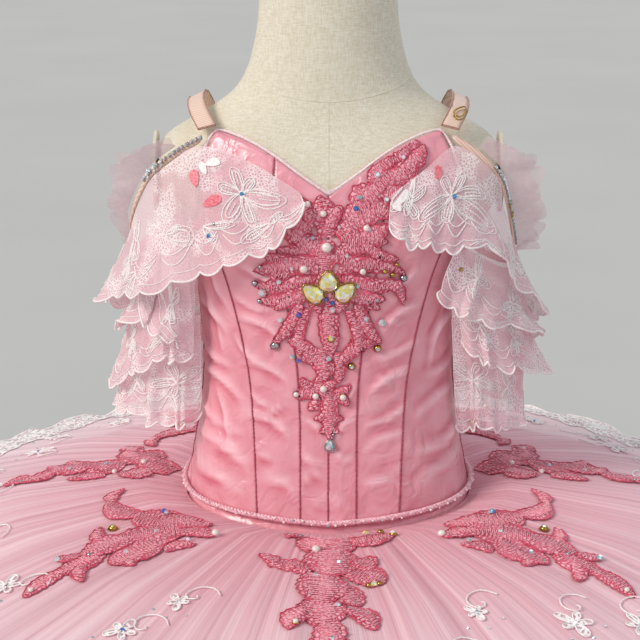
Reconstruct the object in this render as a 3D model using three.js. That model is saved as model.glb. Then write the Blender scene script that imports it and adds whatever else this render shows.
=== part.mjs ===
// A child's classical ballet tutu on a limbless dress form.
// Millimetres, +Z up. The front faces -Y, and the origin is the centre of the stand's base on the floor.
// Names ending in _right and _left are the wearer's: right is -X, left is +X.
// "up" is a height above the waist, and an angle is measured round the body from centre front, left being positive.
import * as THREE from 'three';

// ---- Driving dimensions ----
const waistHeight = 350; // waist above the floor
const easeToForm = 2.4; // air between the form and the bodice
const satinWall = 1.3;
const netWall = 1;
const laceWall = 1.2;
const seamGap = 0.3; // between pieces that are sewn to each other
const bodiceFace = easeToForm + satinWall; // outer face of the bodice, out from the form
const neckTop = 308; // up, top of the form's neck
const formBottom = -200; // up, flat underside of the form
const shoulderCut = 136; // half width at the form's flat arm ends
const rimReach = 395; // radius of the skirt's top layer
const netSpacing = 12; // one skirt layer below the other
const skirtArch = 17; // how far a skirt layer bows up between its seam and its rim
const baseRadius = 140;
const baseThickness = 14;
const poleRadius = 12.5;

// The form's section by height: half width, depth in front and behind, and squareness.
const bodyRows = [
  { up: -200, half: 104, front: 80, back: 92, power: 2.3 },
  { up: -150, half: 116, front: 88, back: 97, power: 2.3 },
  { up: -98, half: 112.5, front: 86, back: 93, power: 2.3 },
  { up: -50, half: 103, front: 80, back: 82, power: 2.3 },
  { up: 0, half: 98, front: 76, back: 78, power: 2.3 },
  { up: 50, half: 101, front: 79, back: 82, power: 2.35 },
  { up: 90, half: 105, front: 83, back: 86, power: 2.4 },
  { up: 106, half: 111, front: 84, back: 87, power: 2.35 },
  { up: 120, half: 124, front: 83.5, back: 87, power: 2.25 },
  { up: 135, half: 137, front: 81, back: 86, power: 2.18 },
  { up: 155, half: 144, front: 75.5, back: 82, power: 2.22 },
  { up: 169, half: 143, front: 70, back: 77, power: 2.3 },
  { up: 182, half: 138, front: 64, back: 71, power: 2.25 },
  { up: 192, half: 127, front: 59, back: 65, power: 2.2 },
  { up: 201, half: 110, front: 55, back: 60, power: 2.15 },
  { up: 211, half: 93, front: 52, back: 57, power: 2.1 },
  { up: 221, half: 77, front: 50, back: 54, power: 2.05 },
  { up: 236, half: 66, front: 49, back: 52, power: 2 },
  { up: 253, half: 60.5, front: 49, back: 51, power: 2 },
  { up: 275, half: 56, front: 49, back: 50, power: 2 },
  { up: 308, half: 54, front: 49, back: 50, power: 2 },
];

// Edges of the bodice, by angle from centre front: the neckline up to the strap corner, the armhole
// and back from the foot of the corner, and the lower edge.
const necklineRows = [
  { angle: 0, up: 152 },
  { angle: 17, up: 165.5 },
  { angle: 38, up: 183 },
  { angle: 56, up: 194 },
  { angle: 64, up: 196 },
];
const armholeRows = [
  { angle: 58, up: 141 },
  { angle: 67, up: 124 },
  { angle: 77, up: 112 },
  { angle: 92, up: 104 },
  { angle: 115, up: 107 },
  { angle: 142, up: 115 },
  { angle: 180, up: 118 },
];
const bottomEdgeRows = [
  { angle: 0, up: -113 },
  { angle: 90, up: -103 },
  { angle: 180, up: -98 },
];

// Level of the skirt's rim.
const rimRows = [
  { angle: 0, up: -148 },
  { angle: 90, up: -150 },
  { angle: 180, up: -159 },
];

// Angle of each bodice seam, by its share of the height from lower to upper edge.
const seamRows = [
  { share: 0, centre: 0, inner: 14.3, outer: 35, side: 90, back: 145, closing: 180 },
  { share: 0.4, centre: 0, inner: 17.1, outer: 44, side: 90, back: 142, closing: 180 },
  { share: 0.6, centre: 0, inner: 21.5, outer: 50, side: 91, back: 141, closing: 180 },
  { share: 0.8, centre: 0, inner: 27, outer: 58, side: 92, back: 140, closing: 180 },
  { share: 1, centre: 0, inner: 33, outer: 64, side: 92, back: 138, closing: 180 },
];
const cornerFoot = 0.8; // share of the outer seam's height where the armhole leaves it
const bodicePanels = [
  { name: 'bodice_centre_front', from: 'centre', to: 'inner', edge: necklineRows, columns: 2 },
  { name: 'bodice_mid_front', from: 'inner', to: 'outer', edge: necklineRows, columns: 3 },
  { name: 'bodice_side_front', from: 'outer', to: 'side', edge: armholeRows, columns: 5 },
  { name: 'bodice_side_back', from: 'side', to: 'back', edge: armholeRows, columns: 5 },
  { name: 'bodice_back', from: 'back', to: 'closing', edge: armholeRows, columns: 3 },
];

// The sewn line of each sleeve runs from the neckline round the arm to the back, and its first
// flounce hangs from it. Angle and reach are polar, round the body's axis; clear is the least distance
// of the sewn line from the form, and frill is how far the tulle frill stands out.
const sleeves = {
  right: {
    side: -1,
    line: [
      { station: 0, angle: 15, reach: 78, up: 162, clear: 6.4, hemAngle: 11, hemReach: 96, hemUp: 146, frill: 0 },
      { station: 1, angle: 43, reach: 80, up: 184, clear: 6.4, hemAngle: 26, hemReach: 106, hemUp: 112, frill: 0 },
      { station: 2, angle: 62, reach: 95, up: 193, clear: 10.5, hemAngle: 44, hemReach: 120, hemUp: 98, frill: 4 },
      { station: 3, angle: 69, reach: 132, up: 177, clear: 10, hemAngle: 62, hemReach: 146, hemUp: 76, frill: 14 },
      { station: 4, angle: 82, reach: 150, up: 146, clear: 8, hemAngle: 77, hemReach: 171, hemUp: 62, frill: 17 },
      { station: 5, angle: 95, reach: 162, up: 106, clear: 8, hemAngle: 94, hemReach: 186, hemUp: 46, frill: 9 },
      { station: 6, angle: 108, reach: 157, up: 80, clear: 8, hemAngle: 110, hemReach: 182, hemUp: 30, frill: 9 },
      { station: 7, angle: 123, reach: 138, up: 88, clear: 8, hemAngle: 127, hemReach: 160, hemUp: 36, frill: 8 },
      { station: 8, angle: 135, reach: 114, up: 112, clear: 8, hemAngle: 140, hemReach: 132, hemUp: 62, frill: 4 },
    ],
    // Hems of the lower flounces, outwards positive, from the front edge round to the back edge.
    hems: [
      [
        { x: 107, y: -50, up: 20 },
        { x: 122, y: -58, up: 30 },
        { x: 148, y: -44, up: 44 },
        { x: 174, y: 6, up: 24 },
        { x: 150, y: 66, up: 18 },
        { x: 108, y: 88, up: 26 },
      ],
      [
        { x: 108, y: -47, up: 12 },
        { x: 132, y: -46, up: 12 },
        { x: 158, y: -24, up: -8 },
        { x: 179, y: 12, up: -26 },
        { x: 150, y: 62, up: -18 },
        { x: 106, y: 78, up: -6 },
      ],
      [
        { x: 101, y: -30, up: -42 },
        { x: 125, y: -34, up: -48 },
        { x: 153, y: -22, up: -42 },
        { x: 175, y: 10, up: -42 },
        { x: 140, y: 54, up: -46 },
        { x: 104, y: 68, up: -40 },
      ],
    ],
  },
  left: {
    side: 1,
    line: [
      { station: 0, angle: 31, reach: 78, up: 160, clear: 7.5, hemAngle: 26, hemReach: 106, hemUp: 126, frill: 0 },
      { station: 1, angle: 47, reach: 80, up: 177, clear: 7.5, hemAngle: 37, hemReach: 114, hemUp: 115, frill: 0 },
      { station: 2, angle: 62, reach: 95, up: 193, clear: 9, hemAngle: 48, hemReach: 123, hemUp: 111, frill: 4 },
      { station: 3, angle: 68, reach: 130, up: 176, clear: 10.4, hemAngle: 65, hemReach: 140, hemUp: 104, frill: 16 },
      { station: 4, angle: 78, reach: 141, up: 143, clear: 6, hemAngle: 78, hemReach: 157, hemUp: 66, frill: 24 },
      { station: 5, angle: 93, reach: 151, up: 98, clear: 8, hemAngle: 92, hemReach: 178, hemUp: 38, frill: 18 },
      { station: 6, angle: 108, reach: 157, up: 72, clear: 8, hemAngle: 109, hemReach: 180, hemUp: 22, frill: 10 },
      { station: 7, angle: 123, reach: 138, up: 84, clear: 8, hemAngle: 127, hemReach: 160, hemUp: 30, frill: 8 },
      { station: 8, angle: 135, reach: 114, up: 112, clear: 8, hemAngle: 140, hemReach: 132, hemUp: 62, frill: 4 },
    ],
    hems: [
      [
        { x: 84, y: -68, up: 68 },
        { x: 110, y: -62, up: 50 },
        { x: 141, y: -44, up: 38 },
        { x: 177, y: 4, up: 20 },
        { x: 150, y: 66, up: 8 },
        { x: 108, y: 88, up: 20 },
      ],
      [
        { x: 106, y: -50, up: 24 },
        { x: 128, y: -48, up: 6 },
        { x: 152, y: -28, up: 0 },
        { x: 181, y: 10, up: -14 },
        { x: 150, y: 62, up: -16 },
        { x: 106, y: 78, up: -6 },
      ],
      [
        { x: 101, y: -30, up: -53 },
        { x: 121, y: -32, up: -49 },
        { x: 144, y: -20, up: -55 },
        { x: 160, y: 8, up: -46 },
        { x: 138, y: 52, up: -48 },
        { x: 104, y: 68, up: -42 },
      ],
    ],
  },
};
const firstTierStart = 2.7; // station of the sewn line under which the lower flounces begin
const tierShare = 0.45; // how far down a flounce the next one is sewn
const tierInset = 4.6; // and how far inside it
const flounceClearance = bodiceFace + 7.5; // least distance of the first flounce from the form
const flounceRipple = 6; // outward bow of the folds at a hem
const bandWidth = 6;
const bandWall = 2;
const frillFolds = 11;

// Centre line of a shoulder strap, from the front corner of the bodice over the shoulder to the back.
const strapRows = [
  { step: 0, x: 94, y: -48, up: 201, lean: 0.25 },
  { step: 1, x: 102, y: -28, up: 212, lean: 0.4 },
  { step: 2, x: 105, y: 0, up: 217, lean: 0.45 },
  { step: 3, x: 103, y: 28, up: 215, lean: 0.4 },
  { step: 4, x: 97, y: 57, up: 194, lean: 0.3 },
  { step: 5, x: 88, y: 78, up: 156, lean: 0.2 },
  { step: 6, x: 80, y: 83, up: 120, lean: 0.15 },
];
const strapWidth = 14;

// Outline of the bodice's applique, and of the ones that lie on the skirt.
const bodiceAppliqueRows = [
  { up: -48, half: 1.5 },
  { up: -32, half: 7 },
  { up: -8, half: 16 },
  { up: 15, half: 28 },
  { up: 45, half: 34 },
  { up: 65, half: 44 },
  { up: 95, half: 48 },
  { up: 120, half: 42 },
  { up: 138, half: 22 },
  { up: 149, half: 8 },
];
const skirtAppliqueRows = [
  { share: 0, half: 14 },
  { share: 0.14, half: 30 },
  { share: 0.34, half: 34 },
  { share: 0.55, half: 22 },
  { share: 0.78, half: 15 },
  { share: 1, half: 3 },
];
const skirtAppliques = [
  { angle: 0, start: 4, length: 200, width: 1.45 },
  { angle: 47, start: 8, length: 172, width: 1 },
  { angle: -47, start: 8, length: 172, width: 1 },
  { angle: 99, start: 6, length: 160, width: 0.95 },
  { angle: -99, start: 6, length: 160, width: 0.95 },
  { angle: 150, start: 6, length: 165, width: 1 },
  { angle: -150, start: 6, length: 165, width: 1 },
];

const skirtLayers = [
  { name: 'skirt_top_layer', reach: rimReach, pleats: 30, fold: 4, shares: [0, 0.13, 0.5, 1] },
  { name: 'skirt_net_2', reach: 387, pleats: 18, fold: 3, shares: [0, 0.3, 1] },
  { name: 'skirt_net_3', reach: 366, pleats: 18, fold: 3, shares: [0, 0.3, 1] },
  { name: 'skirt_net_4', reach: 332, pleats: 18, fold: 3, shares: [0, 0.3, 1] },
  { name: 'skirt_net_5', reach: 290, pleats: 18, fold: 3, shares: [0, 0.3, 1] },
];

// ---- Materials ----
const finish = (color, roughness, metalness = 0) =>
  new THREE.MeshStandardMaterial({ color, roughness, metalness });
const satin = finish('#e9758f', 0.38);
const tulle = finish('#f3b6c6', 0.85);
const lace = finish('#f4c9d2', 0.8);
const applique = finish('#d8405f', 0.7);
const elastic = finish('#d9a89a', 0.6);
const piping = finish('#f6d3da', 0.45);
const linen = finish('#e9e2cc', 0.95);
const wood = finish('#8a5a38', 0.5);
const steel = finish('#b9babc', 0.3, 1);

const tutu = new THREE.Group();

function add(name, geometry, material) {
  const mesh = new THREE.Mesh(geometry, material);
  mesh.name = name;
  tutu.add(mesh);
  return mesh;
}

// ---- Curves and surfaces ----

// Value of a table's column at a place between its rows, on a smooth curve through them.
function along(table, key, at, column) {
  const last = table.length - 1;
  const place = THREE.MathUtils.clamp(at, table[0][key], table[last][key]);
  let i = 0;
  while (i < last - 1 && place > table[i + 1][key]) i += 1;
  const slopeAt = (k) => {
    const before = table[Math.max(k - 1, 0)];
    const after = table[Math.min(k + 1, last)];
    return (after[column] - before[column]) / (after[key] - before[key]);
  };
  const span = table[i + 1][key] - table[i][key];
  const t = (place - table[i][key]) / span;
  const rise = t * t * (3 - 2 * t);
  const lead = t * (1 - t) * (1 - t);
  const trail = t * t * (t - 1);
  const between = THREE.MathUtils.lerp(table[i][column], table[i + 1][column], rise);
  return between + span * (lead * slopeAt(i) + trail * slopeAt(i + 1));
}

function bodyRadius(angle, up) {
  const turn = THREE.MathUtils.degToRad(angle);
  const sine = Math.abs(Math.sin(turn));
  const cosine = Math.cos(turn);
  const half = along(bodyRows, 'up', up, 'half');
  const depth = along(bodyRows, 'up', up, cosine > 0 ? 'front' : 'back');
  const power = along(bodyRows, 'up', up, 'power');
  return ((sine / half) ** power + (Math.abs(cosine) / depth) ** power) ** (-1 / power);
}

function polarPoint(angle, radius, up) {
  const turn = THREE.MathUtils.degToRad(angle);
  return new THREE.Vector3(radius * Math.sin(turn), -radius * Math.cos(turn), waistHeight + up);
}

const bodySurface = (angle, up) => polarPoint(angle, bodyRadius(angle, up), up);

// A point of the body's surface moved straight out from it.
function bodyPoint(angle, up, out) {
  const around = bodySurface(angle + 1, up).sub(bodySurface(angle - 1, up));
  const upward = bodySurface(angle, up + 1).sub(bodySurface(angle, up - 1));
  const outward = around.cross(upward).normalize();
  return bodySurface(angle, up).addScaledVector(outward, out);
}

const angleOf = (point) => THREE.MathUtils.radToDeg(Math.atan2(point.x, -point.y));

// The same point, pushed out where it is nearer than a margin to the body.
function clearOfBody(point, margin) {
  const up = point.z - waistHeight;
  const angle = angleOf(point);
  const least = bodyRadius(angle, up) + margin;
  return Math.hypot(point.x, point.y) < least ? polarPoint(angle, least, up) : point;
}

const mirroredAngle = (angle) => Math.min(Math.abs(angle), 360 - Math.abs(angle));
const edgeUp = (rows, angle) => along(rows, 'angle', mirroredAngle(angle), 'up');
const bottomEdge = (angle) => edgeUp(bottomEdgeRows, angle);

// ---- Solids ----

function solid(points, triangles) {
  let volume = 0;
  for (let i = 0; i < triangles.length; i += 3) {
    const [a, b, c] = [points[triangles[i]], points[triangles[i + 1]], points[triangles[i + 2]]];
    volume += a.dot(b.clone().cross(c));
  }
  if (volume < 0) triangles.reverse();
  const geometry = new THREE.BufferGeometry().setFromPoints(points);
  geometry.setIndex(triangles);
  geometry.computeVertexNormals();
  return geometry;
}

function addQuad(triangles, a, b, c, d) {
  triangles.push(a, b, c, a, c, d);
}

// A wall between two grids of points with the same rows and columns. A ringed one closes on itself.
// Both faces split each quad along the same diagonal, so the wall keeps its thickness where it twists.
function wall(outer, inner, ringed = false) {
  const rows = outer.length;
  const columns = outer[0].length;
  const at = (face, row, column) => (face * rows + row) * columns + (column % columns);
  const triangles = [];
  const spans = ringed ? columns : columns - 1;
  for (let column = 0; column < spans; column += 1) {
    const next = column + 1;
    for (let row = 0; row < rows - 1; row += 1) {
      addQuad(triangles, at(0, row, column), at(0, row, next), at(0, row + 1, next), at(0, row + 1, column));
      addQuad(triangles, at(1, row, column), at(1, row + 1, column), at(1, row + 1, next), at(1, row, next));
    }
    const end = rows - 1;
    addQuad(triangles, at(1, 0, column), at(1, 0, next), at(0, 0, next), at(0, 0, column));
    addQuad(triangles, at(0, end, column), at(0, end, next), at(1, end, next), at(1, end, column));
  }
  if (!ringed) {
    const end = columns - 1;
    for (let row = 0; row < rows - 1; row += 1) {
      addQuad(triangles, at(0, row, 0), at(0, row + 1, 0), at(1, row + 1, 0), at(1, row, 0));
      addQuad(triangles, at(1, row, end), at(1, row + 1, end), at(0, row + 1, end), at(0, row, end));
    }
  }
  return solid([...outer.flat(), ...inner.flat()], triangles);
}

// The grid moved along its own normals.
function moved(grid, distance, ringed = false) {
  const rows = grid.length;
  const columns = grid[0].length;
  return grid.map((line, row) => line.map((point, column) => {
    const below = grid[Math.max(row - 1, 0)][column];
    const above = grid[Math.min(row + 1, rows - 1)][column];
    const left = ringed ? line[(column + columns - 1) % columns] : line[Math.max(column - 1, 0)];
    const right = ringed ? line[(column + 1) % columns] : line[Math.min(column + 1, columns - 1)];
    const normal = right.clone().sub(left).cross(above.clone().sub(below)).normalize();
    return point.clone().addScaledVector(normal, distance);
  }));
}

// A closed ring of sections, each a closed loop of the same number of points.
function ringOf(sections) {
  const sides = sections[0].length;
  const triangles = [];
  for (let i = 0; i < sections.length; i += 1) {
    const next = (i + 1) % sections.length;
    for (let j = 0; j < sides; j += 1) {
      const k = (j + 1) % sides;
      addQuad(triangles, i * sides + j, next * sides + j, next * sides + k, i * sides + k);
    }
  }
  return solid(sections.flat(), triangles);
}

// Rings stacked on each other, closed at both ends.
function stack(rings) {
  const sides = rings[0].length;
  const points = rings.flat();
  const triangles = [];
  for (let i = 0; i < rings.length - 1; i += 1) {
    for (let j = 0; j < sides; j += 1) {
      const k = (j + 1) % sides;
      addQuad(triangles, i * sides + j, i * sides + k, (i + 1) * sides + k, (i + 1) * sides + j);
    }
  }
  const centre = (ring) => ring.reduce((sum, p) => sum.add(p), new THREE.Vector3()).divideScalar(sides);
  const bottom = points.push(centre(rings[0])) - 1;
  const top = points.push(centre(rings[rings.length - 1])) - 1;
  const lastRing = (rings.length - 1) * sides;
  for (let j = 0; j < sides; j += 1) {
    const k = (j + 1) % sides;
    triangles.push(bottom, k, j, top, lastRing + j, lastRing + k);
  }
  return solid(points, triangles);
}

const steps = (count) => Array.from({ length: count + 1 }, (_, i) => i / count);
const turns = (count) => Array.from({ length: count }, (_, i) => (360 * i) / count);

// ---- The dress form and its stand ----

function addForm() {
  const sides = 40;
  const heights = [];
  for (let i = 0; i < bodyRows.length - 1; i += 1) {
    heights.push(bodyRows[i].up);
    if (bodyRows[i + 1].up - bodyRows[i].up > 30) heights.push((bodyRows[i].up + bodyRows[i + 1].up) / 2);
  }
  heights.push(neckTop);
  const rings = heights.map((up) => turns(sides).map((angle) => {
    const point = bodySurface(angle, up);
    point.x = THREE.MathUtils.clamp(point.x, -shoulderCut, shoulderCut);
    return point;
  }));
  add('form_torso', stack(rings), linen);

  const capRings = [{ up: 0.3, size: 0.93 }, { up: 6, size: 0.93 }, { up: 10, size: 0.82 }];
  add('form_neck_cap', stack(capRings.map((row) => turns(sides).map((angle) => {
    const radius = bodyRadius(angle, neckTop) * row.size;
    return polarPoint(angle, radius, neckTop + row.up);
  }))), wood);

  // Oval plates close the flat arm ends.
  const plate = { deep: 30, tall: 33, up: 158, thickness: 2.5, sides: 24 };
  for (const [name, side] of [['right', -1], ['left', 1]]) {
    const ring = (x) => turns(plate.sides).map((angle) => {
      const turn = THREE.MathUtils.degToRad(angle);
      const z = waistHeight + plate.up + plate.tall * Math.sin(turn);
      return new THREE.Vector3(side * x, plate.deep * Math.cos(turn), z);
    });
    const inside = shoulderCut + seamGap;
    add(`form_arm_plate_${name}`, stack([ring(inside), ring(inside + plate.thickness)]), linen);
  }
}

function addStand() {
  const base = new THREE.LatheGeometry([
    new THREE.Vector2(0, 0),
    new THREE.Vector2(baseRadius - 2, 0),
    new THREE.Vector2(baseRadius, 2),
    new THREE.Vector2(baseRadius, baseThickness - 4),
    new THREE.Vector2(baseRadius - 4, baseThickness),
    new THREE.Vector2(0, baseThickness),
  ], 48);
  base.rotateX(Math.PI / 2);
  add('stand_base', base, wood);

  const poleBottom = baseThickness + seamGap;
  const poleLength = waistHeight + formBottom - seamGap - poleBottom;
  const pole = new THREE.CylinderGeometry(poleRadius, poleRadius, poleLength, 24);
  pole.rotateX(Math.PI / 2);
  add('stand_pole', pole, steel).position.z = poleBottom + poleLength / 2;
}

// ---- The bodice ----

function seamAngle(seam, share) {
  return along(seamRows, 'share', share, seam);
}

// Height of a panel's point, a share of the way from the lower edge to its own upper edge.
function panelUp(lowAngle, highUp, share) {
  return THREE.MathUtils.lerp(bottomEdge(lowAngle), highUp, share);
}

// Shares of the height where both panels of a seam have their rows, closer towards the shoulder.
const lowRows = steps(8).map((t) => t ** 0.7);
const highRows = [...lowRows.map((share) => share * cornerFoot), 0.92, 1];

function addBodicePanels() {
  const halfGap = THREE.MathUtils.radToDeg(seamGap / 2 / 92);
  for (const panel of bodicePanels) {
    const fromRise = panel.from === 'outer' ? cornerFoot : 1;
    const cornerUp = panelUp(seamAngle('outer', 0), edgeUp(necklineRows, 64), cornerFoot);
    const place = (share, across) => {
      const from = seamAngle(panel.from, share * fromRise) + halfGap;
      const to = seamAngle(panel.to, share) - halfGap;
      return THREE.MathUtils.lerp(from, to, across);
    };
    const highest = (across) => {
      const isFoot = panel.from === 'outer' && across === 0;
      return isFoot ? cornerUp : edgeUp(panel.edge, place(1, across));
    };
    for (const [name, side] of [['right', -1], ['left', 1]]) {
      const rows = panel.edge === necklineRows ? highRows : lowRows;
      const grid = (out) => rows.map((share) => steps(panel.columns).map((across) => {
        const up = panelUp(place(0, across), highest(across), share);
        return bodyPoint(side * place(share, across), up, out);
      }));
      add(`${panel.name}_${name}`, wall(grid(bodiceFace), grid(easeToForm)), satin);
    }
  }
}

// Piping along the whole upper edge: neckline, strap corners, armholes and back.
function addNecklineBinding() {
  const radius = 1.25;
  const cornerUp = edgeUp(necklineRows, 64);
  const cornerSide = [0.96, 0.88].map((share) => {
    return { angle: seamAngle('outer', share), up: panelUp(seamAngle('outer', 0), cornerUp, share) };
  });
  const half = [
    ...[0, 9, 18, 29, 40, 51, 60, 64].map((angle) => ({ angle, up: edgeUp(necklineRows, angle) })),
    ...cornerSide,
    ...[60, 64, 70, 77, 86, 96, 106, 115, 124, 133, 148, 164].map((angle) => ({ angle, up: edgeUp(armholeRows, angle) })),
  ];
  const mirroredHalf = half.slice(1).reverse().map((row) => ({ angle: 360 - row.angle, up: row.up }));
  const edge = [...half, { angle: 180, up: edgeUp(armholeRows, 180) }, ...mirroredHalf];
  const pathAt = (row) => bodyPoint(row.angle, row.up, easeToForm + satinWall / 2);
  const sections = edge.map((row, i) => {
    const before = edge[(i + edge.length - 1) % edge.length];
    const after = edge[(i + 1) % edge.length];
    const tangent = pathAt(after).sub(pathAt(before)).normalize();
    const outward = bodyPoint(row.angle, row.up, 1).sub(bodySurface(row.angle, row.up));
    const upward = outward.clone().cross(tangent).normalize();
    const middle = pathAt(row).addScaledVector(upward, radius + seamGap + 0.3);
    return turns(5).map((turn) => {
      const a = THREE.MathUtils.degToRad(turn);
      return middle.clone()
        .addScaledVector(outward, radius * Math.cos(a))
        .addScaledVector(upward, radius * Math.sin(a));
    });
  });
  add('neckline_binding', ringOf(sections), piping);
}

// Beaded braid round the lower edge.
function addWaistTrim() {
  const radius = 2.6;
  const sections = turns(36).map((angle) => {
    const up = bottomEdge(angle) + 4;
    const middle = bodyPoint(angle, up, bodiceFace + seamGap + radius);
    const outward = polarPoint(angle, 1, 0).setZ(0);
    return turns(5).map((turn) => {
      const a = THREE.MathUtils.degToRad(turn);
      const point = middle.clone().addScaledVector(outward, radius * Math.cos(a));
      point.z += radius * Math.sin(a);
      return point;
    });
  });
  add('waist_trim', ringOf(sections), piping);
}

function addStraps() {
  for (const [name, side] of [['right', -1], ['left', 1]]) {
    const grid = (out) => [-0.5, 0.5].map((across) => steps(12).map((share) => {
      const step = share * (strapRows.length - 1);
      const at = (column) => along(strapRows, 'step', step, column);
      const lean = at('lean');
      const point = new THREE.Vector3(at('x'), at('y'), waistHeight + at('up'));
      point.x -= across * strapWidth * Math.cos(lean);
      point.z += across * strapWidth * Math.sin(lean);
      const facing = strapFacing(step);
      point.addScaledVector(facing, out);
      point.x *= side;
      return point;
    }));
    add(`strap_${name}`, wall(grid(satinWall), grid(0)), elastic);
  }
}

// Outward direction of a strap's flat face, in the plane of its path.
function strapFacing(step) {
  const spot = (at) => new THREE.Vector3(0, along(strapRows, 'step', at, 'y'), along(strapRows, 'step', at, 'up'));
  const run = spot(Math.min(step + 0.1, 6)).sub(spot(Math.max(step - 0.1, 0))).normalize();
  const lean = along(strapRows, 'step', step, 'lean');
  return new THREE.Vector3(Math.sin(lean), -run.z * Math.cos(lean), run.y * Math.cos(lean)).normalize();
}

// Hook-and-bar placket over the centre back seam.
function addBackPlacket() {
  const halfWidth = 7;
  const grid = (out) => steps(8).map((share) => steps(2).map((across) => {
    const up = THREE.MathUtils.lerp(-88, 112, share);
    const spread = THREE.MathUtils.radToDeg(halfWidth / bodyRadius(180, up));
    return bodyPoint(180 + spread * (2 * across - 1), up, out);
  }));
  const inside = bodiceFace + 0.6;
  add('back_placket', wall(grid(inside + laceWall), grid(inside)), satin);
}

// ---- The sleeves ----

// Point of a sleeve's sewn line, or of its first flounce a share of the way down to the hem.
function firstFlouncePoint(sleeve, station, share) {
  const at = (column) => along(sleeve.line, 'station', station, column);
  const angle = THREE.MathUtils.lerp(at('angle'), at('hemAngle'), share);
  const reach = THREE.MathUtils.lerp(at('reach'), at('hemReach'), share);
  const up = THREE.MathUtils.lerp(at('up') - bandWidth / 2 - 2.6, at('hemUp'), share);
  const margin = THREE.MathUtils.lerp(at('clear'), flounceClearance, Math.min(1, share * 1.5));
  return clearOfBody(polarPoint(angle, reach, up), margin);
}

function sewnLinePoint(sleeve, station, out = 0, up = 0) {
  const at = (column) => along(sleeve.line, 'station', station, column);
  const point = clearOfBody(polarPoint(at('angle'), at('reach'), at('up')), at('clear'));
  const radius = Math.hypot(point.x, point.y) + out;
  return polarPoint(angleOf(point), radius, at('up') + up);
}

// Point of flounce number tier, with tier 0 the first; round runs from its front to its back edge.
function flouncePoint(sleeve, tier, round, share) {
  if (tier === 0) return firstFlouncePoint(sleeve, 8 * round, share);
  const station = THREE.MathUtils.lerp(firstTierStart, 8, round);
  const above = tier === 1
    ? firstFlouncePoint(sleeve, station, tierShare)
    : flouncePoint(sleeve, tier - 1, round, tierShare);
  const top = polarPoint(angleOf(above), Math.hypot(above.x, above.y) - tierInset, above.z - waistHeight);
  const hemRows = sleeve.hems[tier - 1].map((row, i) => ({ ...row, place: i }));
  const hemAt = (column) => along(hemRows, 'place', round * (hemRows.length - 1), column);
  const hem = new THREE.Vector3(hemAt('x'), hemAt('y'), waistHeight + hemAt('up'));
  return clearOfBody(top.lerp(hem, share), flounceClearance - 1.9 * tier);
}

function mirrored(grid, side) {
  return grid.map((line) => line.map((point) => new THREE.Vector3(point.x * side, point.y, point.z)));
}

function addFlounces(name, sleeve) {
  for (let tier = 0; tier < 4; tier += 1) {
    const folds = tier === 0 ? 6 : 5;
    const scallop = 4;
    const columns = steps(folds * 4);
    const rows = tier === 0 ? [1, 0.7, 0.35, 0] : [1, 0.5, 0];
    const grid = rows.map((share) => columns.map((round) => {
      const point = flouncePoint(sleeve, tier, round, share);
      const wave = (1 - Math.cos(2 * Math.PI * folds * round)) / 2;
      const calm = tier === 0 ? Math.min(1, 0.4 + round) : 1;
      const radius = Math.hypot(point.x, point.y) + flounceRipple * calm * wave * share * share;
      const rise = scallop * (1 - wave) * share ** 3;
      return polarPoint(angleOf(point), radius, point.z - waistHeight + rise);
    }));
    const inner = moved(grid, -netWall);
    const geometry = wall(mirrored(grid, sleeve.side), mirrored(inner, sleeve.side));
    add(`sleeve_flounce_${tier + 1}_${name}`, geometry, lace);
  }
}

// Elastic that carries the flounces round the arm, and the tulle frill that stands out above it.
function addBandAndFrill(name, sleeve) {
  const bandStations = steps(13).map((share) => THREE.MathUtils.lerp(2.1, 8, share));
  const bandGrid = (out) => [-0.5, 0.5].map((across) =>
    bandStations.map((station) => sewnLinePoint(sleeve, station, out, across * bandWidth)));
  const band = wall(mirrored(bandGrid(bandWall), sleeve.side), mirrored(bandGrid(0), sleeve.side));
  add(`sleeve_band_${name}`, band, elastic);

  const frillGrid = (drop) => [0, 1].map((share) => steps(frillFolds * 2).map((round, i) => {
    const station = THREE.MathUtils.lerp(2.6, 7.4, round);
    const depth = along(sleeve.line, 'station', station, 'frill');
    const out = bandWall + 1 + depth * share;
    const up = bandWidth / 2 + 1 + depth * share * (i % 2 ? 0.5 : 0.1);
    return sewnLinePoint(sleeve, station, out, up - drop);
  }));
  const frill = wall(mirrored(frillGrid(0), sleeve.side), mirrored(frillGrid(netWall), sleeve.side));
  add(`sleeve_frill_${name}`, frill, tulle);
}

// ---- The skirt ----

function skirtPoint(layer, depth, angle, share, lift) {
  const sewn = bodyPoint(angle, bottomEdge(angle) - 6 - netSpacing * depth, bodiceFace + 0.5);
  const inside = Math.hypot(sewn.x, sewn.y);
  const radius = THREE.MathUtils.lerp(inside, layer.reach, share);
  const level = THREE.MathUtils.lerp(sewn.z - waistHeight, edgeUp(rimRows, angle) - netSpacing * depth, share);
  return polarPoint(angle, radius, level + skirtArch * Math.sin(Math.PI * share ** 0.6) + lift);
}

function addSkirtLayers() {
  skirtLayers.forEach((layer, depth) => {
    const scallop = depth === 0 ? 5 : 0;
    const columns = turns(layer.pleats * 2);
    const grid = (drop) => layer.shares.map((share) => columns.map((angle, i) => {
      const crest = i % 2 ? -1 : 1;
      const point = skirtPoint(layer, depth, angle, share, crest * layer.fold * share - drop);
      const stretch = 1 + (crest * scallop * share ** 4) / layer.reach;
      return new THREE.Vector3(point.x * stretch, point.y * stretch, point.z);
    }));
    add(layer.name, wall(grid(0), grid(netWall), true), tulle);
  });
}

// Fitted hip band that carries all the layers.
function addBasque() {
  const grid = (out) => [seamGap, 34, 66].map((drop) =>
    turns(32).map((angle) => bodyPoint(angle, bottomEdge(angle) - drop, out)));
  add('basque', wall(grid(bodiceFace - 0.3), grid(easeToForm), true), satin);
}

// ---- Appliques of corded lace ----

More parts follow.
